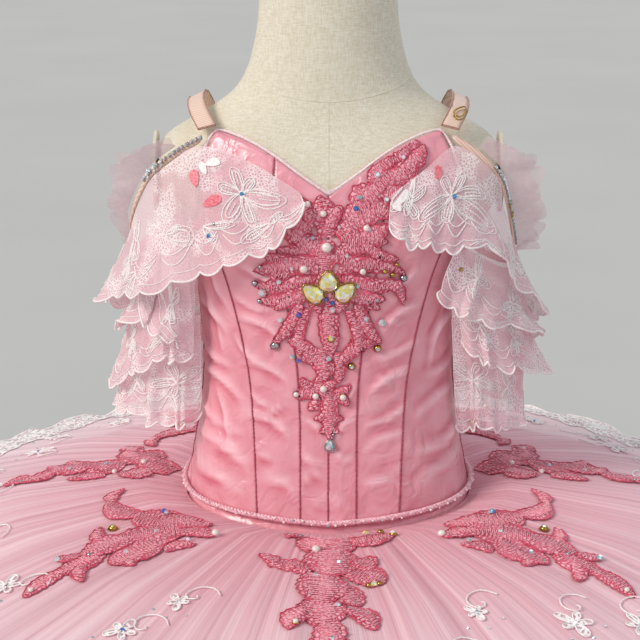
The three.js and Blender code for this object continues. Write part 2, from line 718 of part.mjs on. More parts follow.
function addBodiceApplique() {
  const inside = bodiceFace + 1.2;
  const heights = steps(10).map((share) => THREE.MathUtils.lerp(-48, 149, share));
  const grid = (out) => heights.map((up) => steps(4).map((across) => {
    const half = along(bodiceAppliqueRows, 'up', up, 'half');
    const spread = THREE.MathUtils.radToDeg(half / bodyRadius(0, up));
    return bodyPoint(spread * (2 * across - 1), up, out);
  }));
  add('applique_bodice', wall(grid(inside + laceWall), grid(inside)), applique);
}

// The spray that climbs the left side of the neckline.
function addNecklineApplique() {
  const inside = bodiceFace + 1.2;
  const grid = (out) => [0, 1].map((edge) => steps(7).map((share) => {
    const angle = THREE.MathUtils.lerp(11, 50, share);
    const depth = THREE.MathUtils.lerp(20, 11, share) * (1 - Math.abs(2 * share - 1) ** 4 * 0.6);
    return bodyPoint(angle, edgeUp(necklineRows, angle) - 4 - depth * edge, out);
  }));
  add('applique_neckline', wall(grid(inside + laceWall), grid(inside)), applique);
}

function addSkirtAppliques() {
  const top = skirtLayers[0];
  skirtAppliques.forEach((piece, number) => {
    const grid = (out) => steps(6).map((share) => steps(4).map((across) => {
      const inside = Math.hypot(...skirtPoint(top, 0, piece.angle, 0, 0).toArray().slice(0, 2));
      const radius = inside + 10 + piece.start + piece.length * share;
      const half = along(skirtAppliqueRows, 'share', share, 'half') * piece.width;
      const angle = piece.angle + THREE.MathUtils.radToDeg((half * (2 * across - 1)) / radius);
      const onSkirt = (radius - inside) / (top.reach - inside);
      return skirtPoint(top, 0, angle, onSkirt, top.fold * onSkirt + out);
    }));
    add(`applique_skirt_${number + 1}`, wall(grid(0.8 + laceWall), grid(0.8)), applique);
  });
}

addStand();
addForm();
addBodicePanels();
addNecklineBinding();
addWaistTrim();
addStraps();
addBackPlacket();
for (const [name, sleeve] of Object.entries(sleeves)) {
  addFlounces(name, sleeve);
  addBandAndFrill(name, sleeve);
}
addSkirtLayers();
addBasque();
addBodiceApplique();
addNecklineApplique();
addSkirtAppliques();

export default tutu;
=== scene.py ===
# A child's ballet tutu on a linen dress form: the looks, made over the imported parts.
# Metres, +Z up, front towards -Y. "Up" is a height above the waist, in millimetres.
# Right and left in names are the wearer's: right is -X.
import math
import random

import bmesh
import bpy
import numpy as np
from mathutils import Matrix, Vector, noise
from mathutils.bvhtree import BVHTree


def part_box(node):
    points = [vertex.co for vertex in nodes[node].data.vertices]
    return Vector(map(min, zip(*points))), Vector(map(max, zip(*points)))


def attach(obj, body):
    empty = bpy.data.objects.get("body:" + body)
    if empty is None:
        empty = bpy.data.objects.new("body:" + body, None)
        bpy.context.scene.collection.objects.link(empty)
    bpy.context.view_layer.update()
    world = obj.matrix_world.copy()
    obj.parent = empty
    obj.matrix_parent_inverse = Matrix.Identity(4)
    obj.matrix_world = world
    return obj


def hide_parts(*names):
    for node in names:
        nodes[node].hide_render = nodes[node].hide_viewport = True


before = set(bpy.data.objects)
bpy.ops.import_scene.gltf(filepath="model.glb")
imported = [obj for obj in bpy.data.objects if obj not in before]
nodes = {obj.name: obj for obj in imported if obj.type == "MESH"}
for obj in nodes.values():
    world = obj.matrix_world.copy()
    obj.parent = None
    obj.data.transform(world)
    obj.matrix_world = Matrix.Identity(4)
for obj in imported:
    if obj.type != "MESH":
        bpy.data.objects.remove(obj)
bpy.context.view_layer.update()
mm = 0.001
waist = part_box("bodice_centre_front_right")[0].z + 113 * mm
print("frame loaded:", len(nodes), "parts")

# Finishes.


def linear(hexColour):
    channels = [int(hexColour[i:i + 2], 16) / 255 for i in (1, 3, 5)]
    curved = [c / 12.92 if c <= 0.04045 else ((c + 0.055) / 1.055) ** 2.4 for c in channels]
    return (*curved, 1.0)


def addNode(material, kind, inputs=None, **settings):
    node = material.node_tree.nodes.new("ShaderNode" + kind)
    for name, value in settings.items():
        setattr(node, name, value)
    for socket, value in (inputs or {}).items():
        if isinstance(value, bpy.types.NodeSocket):
            material.node_tree.links.new(value, node.inputs[socket])
        else:
            node.inputs[socket].default_value = value
    return node


def newMaterial(name, shader):
    material = bpy.data.materials.new(name)
    material.use_nodes = True
    setShader(material, shader)
    return material


def setShader(material, values):
    shader = material.node_tree.nodes["Principled BSDF"]
    for socket, value in values.items():
        if isinstance(value, bpy.types.NodeSocket):
            material.node_tree.links.new(value, shader.inputs[socket])
        else:
            shader.inputs[socket].default_value = value


def perMetre(size):
    return 1000 / size  # texture scale for a pattern that repeats every size millimetres


def linenCloth():
    # Cream linen: plain-woven flax with slubs, quite matt.
    # Threads are 0.5 mm apart; they are drawn 1 mm apart so that they show.
    m = newMaterial("linen canvas", {"Roughness": 0.92, "Sheen Weight": 0.15, "IOR": 1.45})
    place = addNode(m, "TexCoord").outputs["Object"]
    across = addNode(m, "Mapping", {"Vector": place, "Scale": (170, 170, perMetre(1))})
    down = addNode(m, "Mapping", {"Vector": place, "Scale": (perMetre(1), perMetre(1), 150)})
    weft = addNode(m, "TexNoise", {"Vector": across.outputs[0], "Scale": 1.0, "Detail": 2.0})
    warp = addNode(m, "TexNoise", {"Vector": down.outputs[0], "Scale": 1.0, "Detail": 2.0})
    weave = addNode(m, "Math", {0: weft.outputs["Fac"], 1: warp.outputs["Fac"]}, operation="ADD")
    age = addNode(m, "TexNoise", {"Vector": place, "Scale": perMetre(90), "Detail": 3.0})
    threads = addNode(m, "MapRange", {"Value": weave.outputs[0], "From Min": 0.75, "From Max": 1.25})
    shade = addNode(m, "Mix", {0: threads.outputs[0], 6: linear("#d6cfba"), 7: linear("#ece7d9")},
                    data_type="RGBA")
    stain = addNode(m, "MapRange", {"Value": age.outputs["Fac"], "From Min": 0.4, "From Max": 0.8,
                                    "To Max": 0.35})
    colour = addNode(m, "Mix", {0: stain.outputs[0], 6: shade.outputs[2], 7: linear("#cfc4a8")},
                     data_type="RGBA")
    bump = addNode(m, "Bump", {"Height": weave.outputs[0], "Distance": 0.0004, "Strength": 0.3})
    setShader(m, {"Base Color": colour.outputs[2], "Normal": bump.outputs[0]})
    return m


def duchessSatin():
    # Duchess satin: polyester filament woven with long floats, so it shines softly on each pucker.
    m = newMaterial("duchess satin", {
        "Roughness": 0.27, "Sheen Weight": 0.3, "Sheen Roughness": 0.35, "Specular IOR Level": 0.75,
        "Sheen Tint": linear("#ffd9e2"), "Anisotropic": 0.35, "IOR": 1.5,
    })
    place = addNode(m, "TexCoord").outputs["Object"]
    # Painted shade and highlight: each pucker's height darkens its trough towards #ce4866 and lightens its
    # ridge towards #ffcfd9.
    fold = addNode(m, "Attribute", attribute_name="fold").outputs["Fac"]
    ridge = addNode(m, "MapRange", {"Value": fold, "From Min": -1.0, "From Max": 1.0})
    body = addNode(m, "Mix", {0: ridge.outputs[0], 6: linear("#ce4866"), 7: linear("#ffcfd9")},
                   data_type="RGBA")
    # Paler in random clouds about 55 mm across.
    cloud = addNode(m, "TexNoise", {"Vector": place, "Scale": perMetre(55), "Detail": 3.0})
    paleClouds = addNode(m, "MapRange", {"Value": cloud.outputs["Fac"], "From Min": 0.35, "From Max": 0.75,
                                   "To Max": 0.5})
    colour = addNode(m, "Mix", {0: paleClouds.outputs[0], 6: body.outputs[2], 7: linear("#f9a6b7")},
                     data_type="RGBA")
    pucker = addNode(m, "TexNoise", {"Vector": place, "Scale": perMetre(20), "Detail": 2.0,
                                     "Distortion": 1.1})
    soft = addNode(m, "Bump", {"Height": pucker.outputs["Fac"], "Distance": 0.006, "Strength": 0.45})
    floats = addNode(m, "Mapping", {"Vector": place, "Scale": (perMetre(1.2), perMetre(1.2), 50)})
    grain = addNode(m, "TexNoise", {"Vector": floats.outputs[0], "Scale": 1.0, "Detail": 1.0})
    fine = addNode(m, "Bump", {"Height": grain.outputs["Fac"], "Distance": 0.0002, "Strength": 0.25,
                               "Normal": soft.outputs[0]})
    setShader(m, {"Base Color": colour.outputs[2], "Normal": fine.outputs[0]})
    return m


def gatheredTulle(name, near, far, opacity):
    # Nylon tulle gathered at the waist: its folds run out as streaks of painted highlight and painted shade,
    # and it pales to the rim.
    # The mesh's holes are 1 mm wide and can't be seen one by one, so they are an even transparency.
    m = newMaterial(name, {"Roughness": 0.85, "Sheen Weight": 0.35, "Sheen Tint": linear("#ffeaf0"),
                           "IOR": 1.4})
    place = addNode(m, "TexCoord").outputs["Object"]
    flat = addNode(m, "VectorMath", {0: place, 1: (1, 1, 0)}, operation="MULTIPLY").outputs[0]
    turn = addNode(m, "VectorMath", {0: flat}, operation="NORMALIZE").outputs[0]
    reach = addNode(m, "VectorMath", {0: flat}, operation="LENGTH").outputs["Value"]
    around = addNode(m, "VectorMath", {0: turn, "Scale": 42.0}, operation="SCALE").outputs[0]
    outward = addNode(m, "CombineXYZ", {2: reach}).outputs[0]
    streakPlace = addNode(m, "VectorMath", {0: around, 1: outward}, operation="ADD").outputs[0]
    streak = addNode(m, "TexNoise", {"Vector": streakPlace, "Scale": 1.0, "Detail": 4.0, "Roughness": 0.7})
    toRim = addNode(m, "MapRange", {"Value": reach, "From Min": 0.1, "From Max": 0.38})
    body = addNode(m, "Mix", {0: toRim.outputs[0], 6: linear(near), 7: linear(far)}, data_type="RGBA")
    # Painted highlight on the pale streaks, painted shade on the deep ones.
    streakHighlight = addNode(m, "MapRange", {"Value": streak.outputs["Fac"], "From Min": 0.5, "From Max": 0.75,
                                   "To Max": 0.6})
    deep = addNode(m, "MapRange", {"Value": streak.outputs["Fac"], "From Min": 0.45, "From Max": 0.25,
                                   "To Max": 0.4})
    lit = addNode(m, "Mix", {0: streakHighlight.outputs[0], 6: body.outputs[2], 7: linear("#fdebf0")}, data_type="RGBA")
    colour = addNode(m, "Mix", {0: deep.outputs[0], 6: lit.outputs[2], 7: linear("#e58aa2")},
                     data_type="RGBA")
    thick = addNode(m, "MapRange", {
        "Value": streak.outputs["Fac"], "From Min": 0.35, "From Max": 0.65,
        "To Min": opacity - 0.14, "To Max": min(1.0, opacity + 0.12),
    })
    bump = addNode(m, "Bump", {"Height": streak.outputs["Fac"], "Distance": 0.004, "Strength": 0.35})
    setShader(m, {"Base Color": colour.outputs[2], "Normal": bump.outputs[0]})
    setShader(m, {"Alpha": thick.outputs[0] if opacity < 1 else 1.0})
    return m


def embroideredNet():
    # Lace of the sleeves: sheer pale net, clouded with small white stitches in patches.
    m = newMaterial("embroidered net", {"Roughness": 0.8, "Sheen Weight": 0.3,
                                        "Sheen Tint": linear("#ffffff"), "IOR": 1.4})
    place = addNode(m, "TexCoord").outputs["Object"]
    patch = addNode(m, "TexNoise", {"Vector": place, "Scale": perMetre(24), "Detail": 1.0})
    stitches = addNode(m, "TexVoronoi", {"Vector": place, "Scale": perMetre(2.2)}, feature="DISTANCE_TO_EDGE")
    dots = addNode(m, "MapRange", {"Value": stitches.outputs["Distance"], "From Min": 0.2, "From Max": 0.08,
                                   "To Max": 0.75})
    inPatch = addNode(m, "MapRange", {"Value": patch.outputs["Fac"], "From Min": 0.48, "From Max": 0.58,
                                      "To Min": 0.25})
    worked = addNode(m, "Math", {0: dots.outputs[0], 1: inPatch.outputs[0]}, operation="MULTIPLY").outputs[0]
    tint = addNode(m, "TexNoise", {"Vector": place, "Scale": perMetre(60), "Detail": 2.0})
    ground = addNode(m, "Mix", {0: tint.outputs["Fac"], 6: linear("#f7c0ce"), 7: linear("#fbe0e7")},
                     data_type="RGBA")
    colour = addNode(m, "Mix", {0: worked, 6: ground.outputs[2], 7: linear("#fffafb")}, data_type="RGBA")
    alpha = addNode(m, "MapRange", {"Value": worked, "To Min": 0.56, "To Max": 0.95})
    setShader(m, {"Base Color": colour.outputs[2], "Alpha": alpha.outputs[0]})
    return m


def sheerTulle():
    # Crisp pink tulle of the shoulder frills, one thickness and nearly clear.
    m = newMaterial("sheer tulle", {"Roughness": 0.8, "Sheen Weight": 0.3, "Sheen Tint": linear("#ffffff"),
                                    "IOR": 1.4})
    place = addNode(m, "TexCoord").outputs["Object"]
    tint = addNode(m, "TexNoise", {"Vector": place, "Scale": perMetre(8), "Detail": 2.0})
    colour = addNode(m, "Mix", {0: tint.outputs["Fac"], 6: linear("#dcbfc7"), 7: linear("#f7e8ec")},
                     data_type="RGBA")
    alpha = addNode(m, "MapRange", {"Value": tint.outputs["Fac"], "To Min": 0.35, "To Max": 0.62})
    setShader(m, {"Base Color": colour.outputs[2], "Alpha": alpha.outputs[0]})
    return m


def galloonLace():
    # Edging lace: white rayon worked closely on net, with small open holes between.
    m = newMaterial("galloon lace", {"Roughness": 0.7, "Sheen Weight": 0.3, "Sheen Tint": linear("#ffffff"),
                                     "IOR": 1.45})
    place = addNode(m, "TexCoord").outputs["Object"]
    holes = addNode(m, "TexVoronoi", {"Vector": place, "Scale": perMetre(6)}, feature="DISTANCE_TO_EDGE")
    thread = addNode(m, "MapRange", {"Value": holes.outputs["Distance"], "From Min": 0.22, "From Max": 0.12})
    colour = addNode(m, "Mix", {0: thread.outputs[0], 6: linear("#f6d5dd"), 7: linear("#fffdfc")},
                     data_type="RGBA")
    alpha = addNode(m, "MapRange", {"Value": thread.outputs[0], "To Min": 0.3, "To Max": 0.95})
    bump = addNode(m, "Bump", {"Height": thread.outputs[0], "Distance": 0.0008, "Strength": 0.5})
    setShader(m, {"Base Color": colour.outputs[2], "Alpha": alpha.outputs[0], "Normal": bump.outputs[0]})
    return m


def cordedGround():
    # Ground of the corded lace: crimson soutache laid in tight wriggles over pink net, 2 mm apart.
    m = newMaterial("corded lace", {"Roughness": 0.62, "Sheen Weight": 0.2, "Sheen Tint": linear("#ffb9c8"),
                                    "IOR": 1.48})
    place = addNode(m, "TexCoord").outputs["Object"]
    drift = addNode(m, "TexNoise", {"Vector": place, "Scale": perMetre(7), "Detail": 1.0})
    bent = addNode(m, "VectorMath", {0: drift.outputs["Color"], "Scale": 0.004}, operation="SCALE").outputs[0]
    wriggle = addNode(m, "VectorMath", {0: place, 1: bent}, operation="ADD").outputs[0]
    cells = addNode(m, "TexVoronoi", {"Vector": wriggle, "Scale": perMetre(3.4)}, feature="DISTANCE_TO_EDGE")
    cord = addNode(m, "MapRange", {"Value": cells.outputs["Distance"], "From Min": 0.24, "From Max": 0.04},
                   interpolation_type="SMOOTHSTEP")
    dye = addNode(m, "TexNoise", {"Vector": place, "Scale": perMetre(16), "Detail": 2.0})
    dyed = addNode(m, "MapRange", {"Value": dye.outputs["Fac"], "From Min": 0.35, "From Max": 0.65})
    deep = addNode(m, "Mix", {0: dyed.outputs[0], 6: linear("#cc2f52"), 7: linear("#f0708c")},
                   data_type="RGBA")
    colour = addNode(m, "Mix", {0: cord.outputs[0], 6: linear("#f9b5c4"), 7: deep.outputs[2]},
                     data_type="RGBA")
    bump = addNode(m, "Bump", {"Height": cord.outputs[0], "Distance": 0.0012, "Strength": 0.8})
    setShader(m, {"Base Color": colour.outputs[2], "Normal": bump.outputs[0]})
    return m


def threadFinish(name, dark, light, roughness=0.55):
    # Twisted rayon thread and cord: two plies, so the shade runs in short slants 1.5 mm apart.
    m = newMaterial(name, {"Roughness": roughness, "Sheen Weight": 0.3, "Sheen Tint": linear("#ffffff"),
                           "IOR": 1.5})
    place = addNode(m, "TexCoord").outputs["Object"]
    twist = addNode(m, "TexNoise", {"Vector": place, "Scale": perMetre(1.5), "Detail": 1.0})
    mix = addNode(m, "MapRange", {"Value": twist.outputs["Fac"], "From Min": 0.35, "From Max": 0.6})
    colour = addNode(m, "Mix", {0: mix.outputs[0], 6: linear(dark), 7: linear(light)}, data_type="RGBA")
    bump = addNode(m, "Bump", {"Height": twist.outputs["Fac"], "Distance": 0.0004, "Strength": 0.5})
    setShader(m, {"Base Color": colour.outputs[2], "Normal": bump.outputs[0]})
    return m


def elasticFinish():
    # Nude plush elastic: ribbed across every 1.5 mm, matt.
    m = newMaterial("plush elastic", {"Roughness": 0.7, "Sheen Weight": 0.25, "IOR": 1.45})
    place = addNode(m, "TexCoord").outputs["Object"]
    ribs = addNode(m, "TexWave", {"Vector": place, "Scale": 0.314 / 0.0016, "Distortion": 0.6},
                   bands_direction="DIAGONAL")
    colour = addNode(m, "Mix", {0: ribs.outputs["Fac"], 6: linear("#e0bcab"), 7: linear("#f6dccd")},
                     data_type="RGBA")
    bump = addNode(m, "Bump", {"Height": ribs.outputs["Fac"], "Distance": 0.0003, "Strength": 0.5})
    setShader(m, {"Base Color": colour.outputs[2], "Normal": bump.outputs[0]})
    return m


def crystalFinish(name, tints):
    # Cut glass with a foil back and an iridescent coat: each stone's facets take tints that are partly the
    # glass's own colour and partly painted reflection, and some carry a painted flash.
    m = newMaterial(name, {"Roughness": 0.06, "Metallic": 0.55, "Coat Weight": 1.0, "Coat Roughness": 0.03,
                           "IOR": 1.55})
    place = addNode(m, "TexCoord").outputs["Object"]
    cut = addNode(m, "TexVoronoi", {"Vector": place, "Scale": perMetre(2.2)}, feature="F1")
    hue = addNode(m, "SeparateColor", {0: cut.outputs["Color"]})
    first = addNode(m, "Mix", {0: hue.outputs[0], 6: linear(tints[0]), 7: linear(tints[1])}, data_type="RGBA")
    # Painted reflection: cells past the threshold take the third tint as a fixed flash.
    paintedFlash = addNode(m, "Math", {0: hue.outputs[1], 1: 0.66}, operation="GREATER_THAN")
    colour = addNode(m, "Mix", {0: paintedFlash.outputs[0], 6: first.outputs[2], 7: linear(tints[2])},
                     data_type="RGBA")
    setShader(m, {"Base Color": colour.outputs[2]})
    return m


def pearlFinish():
    # Glass pearls: nacre coat over white glass, soft and slightly pink.
    m = newMaterial("glass pearl", {"Roughness": 0.22, "Coat Weight": 0.7, "Coat Roughness": 0.12,
                                    "IOR": 1.6})
    place = addNode(m, "TexCoord").outputs["Object"]
    nacre = addNode(m, "TexNoise", {"Vector": place, "Scale": perMetre(5), "Detail": 1.0})
    colour = addNode(m, "Mix", {0: nacre.outputs["Fac"], 6: linear("#e6cfc9"), 7: linear("#fbf6f0")},
                     data_type="RGBA")
    setShader(m, {"Base Color": colour.outputs[2]})
    return m


def metalFinish(name, dull, bright, roughness):
    # Drawn or stamped metal, a little tarnished where it is handled.
    m = newMaterial(name, {"Roughness": roughness, "Metallic": 1.0})
    place = addNode(m, "TexCoord").outputs["Object"]
    tarnish = addNode(m, "TexNoise", {"Vector": place, "Scale": perMetre(6), "Detail": 3.0})
    colour = addNode(m, "Mix", {0: tarnish.outputs["Fac"], 6: linear(dull), 7: linear(bright)},
                     data_type="RGBA")
    setShader(m, {"Base Color": colour.outputs[2]})
    return m


def varnishedBeech():
    # Stained beech under satin varnish: straight grain with short dark flecks.
    m = newMaterial("stained beech", {"Roughness": 0.42, "Coat Weight": 0.35, "Coat Roughness": 0.2,
                                      "IOR": 1.5})
    place = addNode(m, "TexCoord").outputs["Object"]
    stretched = addNode(m, "Mapping", {"Vector": place, "Scale": (18, perMetre(5), perMetre(5))})
    grain = addNode(m, "TexNoise", {"Vector": stretched.outputs[0], "Scale": 1.0, "Detail": 5.0,
                                    "Roughness": 0.6})
    mix = addNode(m, "MapRange", {"Value": grain.outputs["Fac"], "From Min": 0.35, "From Max": 0.68})
    colour = addNode(m, "Mix", {0: mix.outputs[0], 6: linear("#5d3820"), 7: linear("#9a6a42")},
                     data_type="RGBA")
    bump = addNode(m, "Bump", {"Height": grain.outputs["Fac"], "Distance": 0.0003, "Strength": 0.3})
    setShader(m, {"Base Color": colour.outputs[2], "Normal": bump.outputs[0]})
    return m


def studioPaper():
    # Seamless background paper, pale grey and matt.
    m = newMaterial("background paper", {"Roughness": 0.95, "IOR": 1.3})
    place = addNode(m, "TexCoord").outputs["Object"]
    tooth = addNode(m, "TexNoise", {"Vector": place, "Scale": 2.0, "Detail": 3.0})
    colour = addNode(m, "Mix", {0: tooth.outputs["Fac"], 6: linear("#bfc1c0"), 7: linear("#c9cbc9")},
                     data_type="RGBA")
    setShader(m, {"Base Color": colour.outputs[2]})
    return m


linen = linenCloth()
satin = duchessSatin()
topTulle = gatheredTulle("top tulle", "#f6a9bb", "#fbdfe7", 0.8)
underTulle = gatheredTulle("under tulle", "#f298ae", "#f9cfda", 1.0)
lace = embroideredNet()
frillTulle = sheerTulle()
galloon = galloonLace()
corded = cordedGround()
crimsonCord = threadFinish("crimson soutache", "#a51a3c", "#de5475")
roseCord = threadFinish("rose soutache", "#e0708a", "#ffc0cd")
coralSatin = threadFinish("coral satin", "#dd5c70", "#f58a97", 0.35)
whiteCord = threadFinish("white rayon cord", "#f3e3e6", "#fffdfd")
seamThread = threadFinish("seam thread", "#9c2746", "#c4506c")
pipingThread = threadFinish("satin piping", "#f2c6cf", "#fdeef1", 0.4)
braidThread = threadFinish("waist braid", "#df8ba0", "#fbd3dc", 0.45)
elastic = elasticFinish()
elasticEdge = threadFinish("elastic selvedge", "#a8796b", "#c08f80", 0.7)
crystal = crystalFinish("aurora crystal", ("#e9f3f4", "#f6d9e6", "#a9d6dd"))
blueCrystal = crystalFinish("blue crystal", ("#2f6fd0", "#39a7c9", "#7d5fd0"))
yellowCrystal = crystalFinish("citrine crystal", ("#e9df5a", "#fbf6c8", "#e8f5ef"))
pearl = pearlFinish()
gold = metalFinish("gilt setting", "#9a7430", "#e3c46c", 0.25)
silver = metalFinish("silver setting", "#8f9296", "#d9dcdf", 0.22)
steel = metalFinish("brushed steel", "#9b9da0", "#c6c8ca", 0.32)
beech = varnishedBeech()
print("finishes made")

# Making pieces.


def mergedCopy(name):
    # A CAD node's mesh is loose triangles: its copy is merged, and its triangles are paired to quads.
    bm = bmesh.new()
    bm.from_mesh(nodes[name].data)
    bmesh.ops.remove_doubles(bm, verts=bm.verts, dist=0.01 * mm)
    bmesh.ops.join_triangles(bm, faces=bm.faces, angle_face_threshold=0.8, angle_shape_threshold=2.2)
    return bm


def subdivided(bm, levels, sharpAngle=None):
    if sharpAngle is not None:
        crease = bm.edges.layers.float.new("crease_edge")
        for edge in bm.edges:
            if edge.calc_face_angle(0) > math.radians(sharpAngle):
                edge[crease] = 1.0
    mesh = bpy.data.meshes.new("work")
    bm.to_mesh(mesh)
    work = bpy.data.objects.new("work", mesh)
    bpy.context.scene.collection.objects.link(work)
    smooth = work.modifiers.new("Smooth", "SUBSURF")
    smooth.levels = levels
    smooth.boundary_smooth = "PRESERVE_CORNERS"
    fine = bpy.data.meshes.new_from_object(work.evaluated_get(bpy.context.evaluated_depsgraph_get()))
    bm.clear()
    bm.from_mesh(fine)
    bpy.data.objects.remove(work)
    for used in (mesh, fine):
        bpy.data.meshes.remove(used)
    return bm


def outerWall(name, sharpAngle=56):
    # The wall's outward face alone, without its thickness, as an open sheet of quads.
    bm = mergedCopy(name)
    seen, walls = set(), []
    for start in bm.faces:
        if start in seen:
            continue
        seen.add(start)
        region, waiting = [], [start]
        while waiting:
            face = waiting.pop()
            region.append(face)
            for edge in face.edges:
                for other in edge.link_faces:
                    if other not in seen and edge.calc_face_angle(0) < math.radians(sharpAngle):
                        seen.add(other)
                        waiting.append(other)
        walls.append(region)

    def outwardness(region):
        return sum(f.calc_area() * f.normal.dot(f.calc_center_median() * Vector((1, 1, 0))) for f in region)

    outer = set(max(walls, key=outwardness))
    bmesh.ops.delete(bm, geom=[f for f in bm.faces if f not in outer], context="FACES")
    return bm


def addPiece(name, bm, material, replaced=(), wall=0.0):
    mesh = bpy.data.meshes.new(name)
    for face in bm.faces:
        face.smooth = True
    bm.to_mesh(mesh)
    bm.free()
    for one in material if isinstance(material, list) else [material]:
        mesh.materials.append(one)
    piece = bpy.data.objects.new(name, mesh)
    bpy.context.scene.collection.objects.link(piece)
    if wall:
        thicken = piece.modifiers.new("Thickness", "SOLIDIFY")
        thicken.thickness = wall
        thicken.offset = -1
    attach(piece, "root")
    if replaced:
        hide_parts(*replaced)
    return piece


def cordMesh(bm, paths, radius, closed=False, sides=1, materialIndex=0):
    # Round cords along the paths, added to the piece's mesh.
    curve = bpy.data.curves.new("cords", "CURVE")
    curve.dimensions = "3D"
    curve.bevel_depth = radius
    curve.bevel_resolution = sides
    curve.use_fill_caps = not closed
    for path in paths:
        spline = curve.splines.new("POLY")
        spline.points.add(len(path) - 1)
        for point, place in zip(spline.points, path):
            point.co = (*place, 1)
        spline.use_cyclic_u = closed
    work = bpy.data.objects.new("work", curve)
    bpy.context.scene.collection.objects.link(work)
    mesh = bpy.data.meshes.new_from_object(work.evaluated_get(bpy.context.evaluated_depsgraph_get()))
    firstNew = len(bm.faces)
    bm.from_mesh(mesh)
    bm.faces.ensure_lookup_table()
    for face in bm.faces[firstNew:]:
        face.material_index = materialIndex
    bpy.data.objects.remove(work)
    bpy.data.meshes.remove(mesh)
    bpy.data.curves.remove(curve)


def treeOf(pieces):
    joined = bmesh.new()
    for piece in pieces:
        joined.from_mesh(piece.data)
    tree = BVHTree.FromBMesh(joined)
    joined.free()
    return tree


def standingBasis(normal, turn=0.0):
    # Three axes at right angles, the third along the normal, turned about it from level.
    level = Vector((0, 0, 1)).cross(normal)
    if level.length < 0.05:
        level = Vector((1, 0, 0))
    level.normalize()
    rise = normal.cross(level)
    first = level * math.cos(turn) + rise * math.sin(turn)
    return first, normal.cross(first), normal


def curveThrough(points, count):
    # Evenly numbered points on a smooth curve through the given ones.
    made = []
    last = len(points) - 1
    for i in range(count):
        at = i / (count - 1) * last
        k = min(int(at), last - 1)
        t = at - k
        before, start, end, after = (points[min(max(k + j, 0), last)] for j in (-1, 0, 1, 2))
        lead = (end - before) / 2
        trail = (after - start) / 2
        made.append(
            start * (2 * t ** 3 - 3 * t ** 2 + 1) + lead * (t ** 3 - 2 * t ** 2 + t)
            + end * (3 * t ** 2 - 2 * t ** 3) + trail * (t ** 3 - t ** 2)
        )
    return made


# Camera, light and floor.

studio = {
    "target": (-0.0066, 0.0, 0.384), "distance": 1.6, "elevation": 15, "lens": 109.75,
    "floorSize": 15,
    # name, where the light comes from, strength, width in degrees, colour
    "lamps": [
        ("key", (-1.35, -0.95, 1.15), 2.15, 26, "#fff7ee"),
        ("fill", (1.2, -1.5, 0.9), 0.3, 50, "#eef3ff"),
        ("back", (0.6, 1.5, 1.6), 0.45, 40, "#f4f7ff"),
    ],
    "sky": "#f1f3f5", "skyStrength": 0.47,
}


def addStudio():
    scene = bpy.context.scene
    target = Vector(studio["target"])
    tilt = math.radians(studio["elevation"])
    camera = bpy.data.objects.new("camera", bpy.data.cameras.new("camera"))
    camera.data.lens = studio["lens"]
    camera.data.sensor_width = 36
    camera.location = target + studio["distance"] * Vector((0, -math.cos(tilt), math.sin(tilt)))
    camera.rotation_euler = (math.pi / 2 - tilt, 0, 0)
    scene.collection.objects.link(camera)
    scene.camera = camera
    scene.view_settings.view_transform = "Standard"

    for name, place, strength, width, colour in studio["lamps"]:
        lamp = bpy.data.lights.new(name, "SUN")
        lamp.angle = math.radians(width)
        lamp.energy = strength
        lamp.color = linear(colour)[:3]
        holder = bpy.data.objects.new(name, lamp)
        holder.location = place
        holder.rotation_euler = (-Vector(place)).to_track_quat("-Z", "Y").to_euler()
        scene.collection.objects.link(holder)

    world = bpy.data.worlds.new("soft room")
    world.use_nodes = True
    sky = world.node_tree.nodes["Background"]
    sky.inputs["Color"].default_value = linear(studio["sky"])
    sky.inputs["Strength"].default_value = studio["skyStrength"]
    scene.world = world

    bm = bmesh.new()
    bmesh.ops.create_grid(bm, x_segments=4, y_segments=4, size=studio["floorSize"])
    mesh = bpy.data.meshes.new("floor")
    bm.to_mesh(mesh)
    bm.free()
    mesh.materials.append(studioPaper())
    floor = bpy.data.objects.new("floor", mesh)
    scene.collection.objects.link(floor)


addStudio()
print("studio set up")

# Dress form and stand.

dressForm = {
    "smoothing": 2,
    "neckSeamFront": 221, "neckSeamBack": 258,  # up
    "seamFoot": 150,  # centre front seam, up
    "seamRadius": 0.35,
}


def addForm():
    for name, levels in (("form_torso", dressForm["smoothing"]), ("form_arm_plate_right", 2),
                         ("form_arm_plate_left", 2)):
        piece = addPiece(name + "_linen", subdivided(mergedCopy(name), levels, 50), linen, [name])
        if name == "form_torso":
            torso = treeOf([piece])
    cap = subdivided(mergedCopy("form_neck_cap"), 2, 80)
    addPiece("neck_cap_wood", cap, beech, ["form_neck_cap"])

    def onTorso(direction, up):
        start = Vector((0, 0, waist + up * mm)) + direction * 0.4
        return torso.ray_cast(start, -direction)[0]

    bm = bmesh.new()
    front, back = dressForm["neckSeamFront"], dressForm["neckSeamBack"]
    ring = []
    for i in range(96):
        turn = math.tau * i / 96
        up = (front + back) / 2 - (back - front) / 2 * math.cos(turn)
        ring.append(onTorso(Vector((math.sin(turn), -math.cos(turn), 0)), up))
    cordMesh(bm, [ring], dressForm["seamRadius"] * mm, closed=True)
    for facing in (-1, 1):
        top = front if facing < 0 else back
        ups = [top + (dressForm["seamFoot"] - 80 * (facing > 0) - top) * i / 40 for i in range(41)]
        cordMesh(bm, [[onTorso(Vector((0, facing, 0)), up) for up in ups]], dressForm["seamRadius"] * mm)
    addPiece("form_seams", bm, linen)


def addStand():
    base = mergedCopy("stand_base")
    rim = [e for e in base.edges if e.calc_face_angle(0) > math.radians(20)]
    bmesh.ops.bevel(base, geom=rim, offset=0.6 * mm, affect="EDGES", segments=2, profile=0.5, material=-1)
    addPiece("stand_base_wood", base, beech, ["stand_base"])
    pole = subdivided(mergedCopy("stand_pole"), 1, 50)
    addPiece("stand_pole_steel", pole, steel, ["stand_pole"])


addForm()
addStand()
print("form and stand made")

# Bodice.

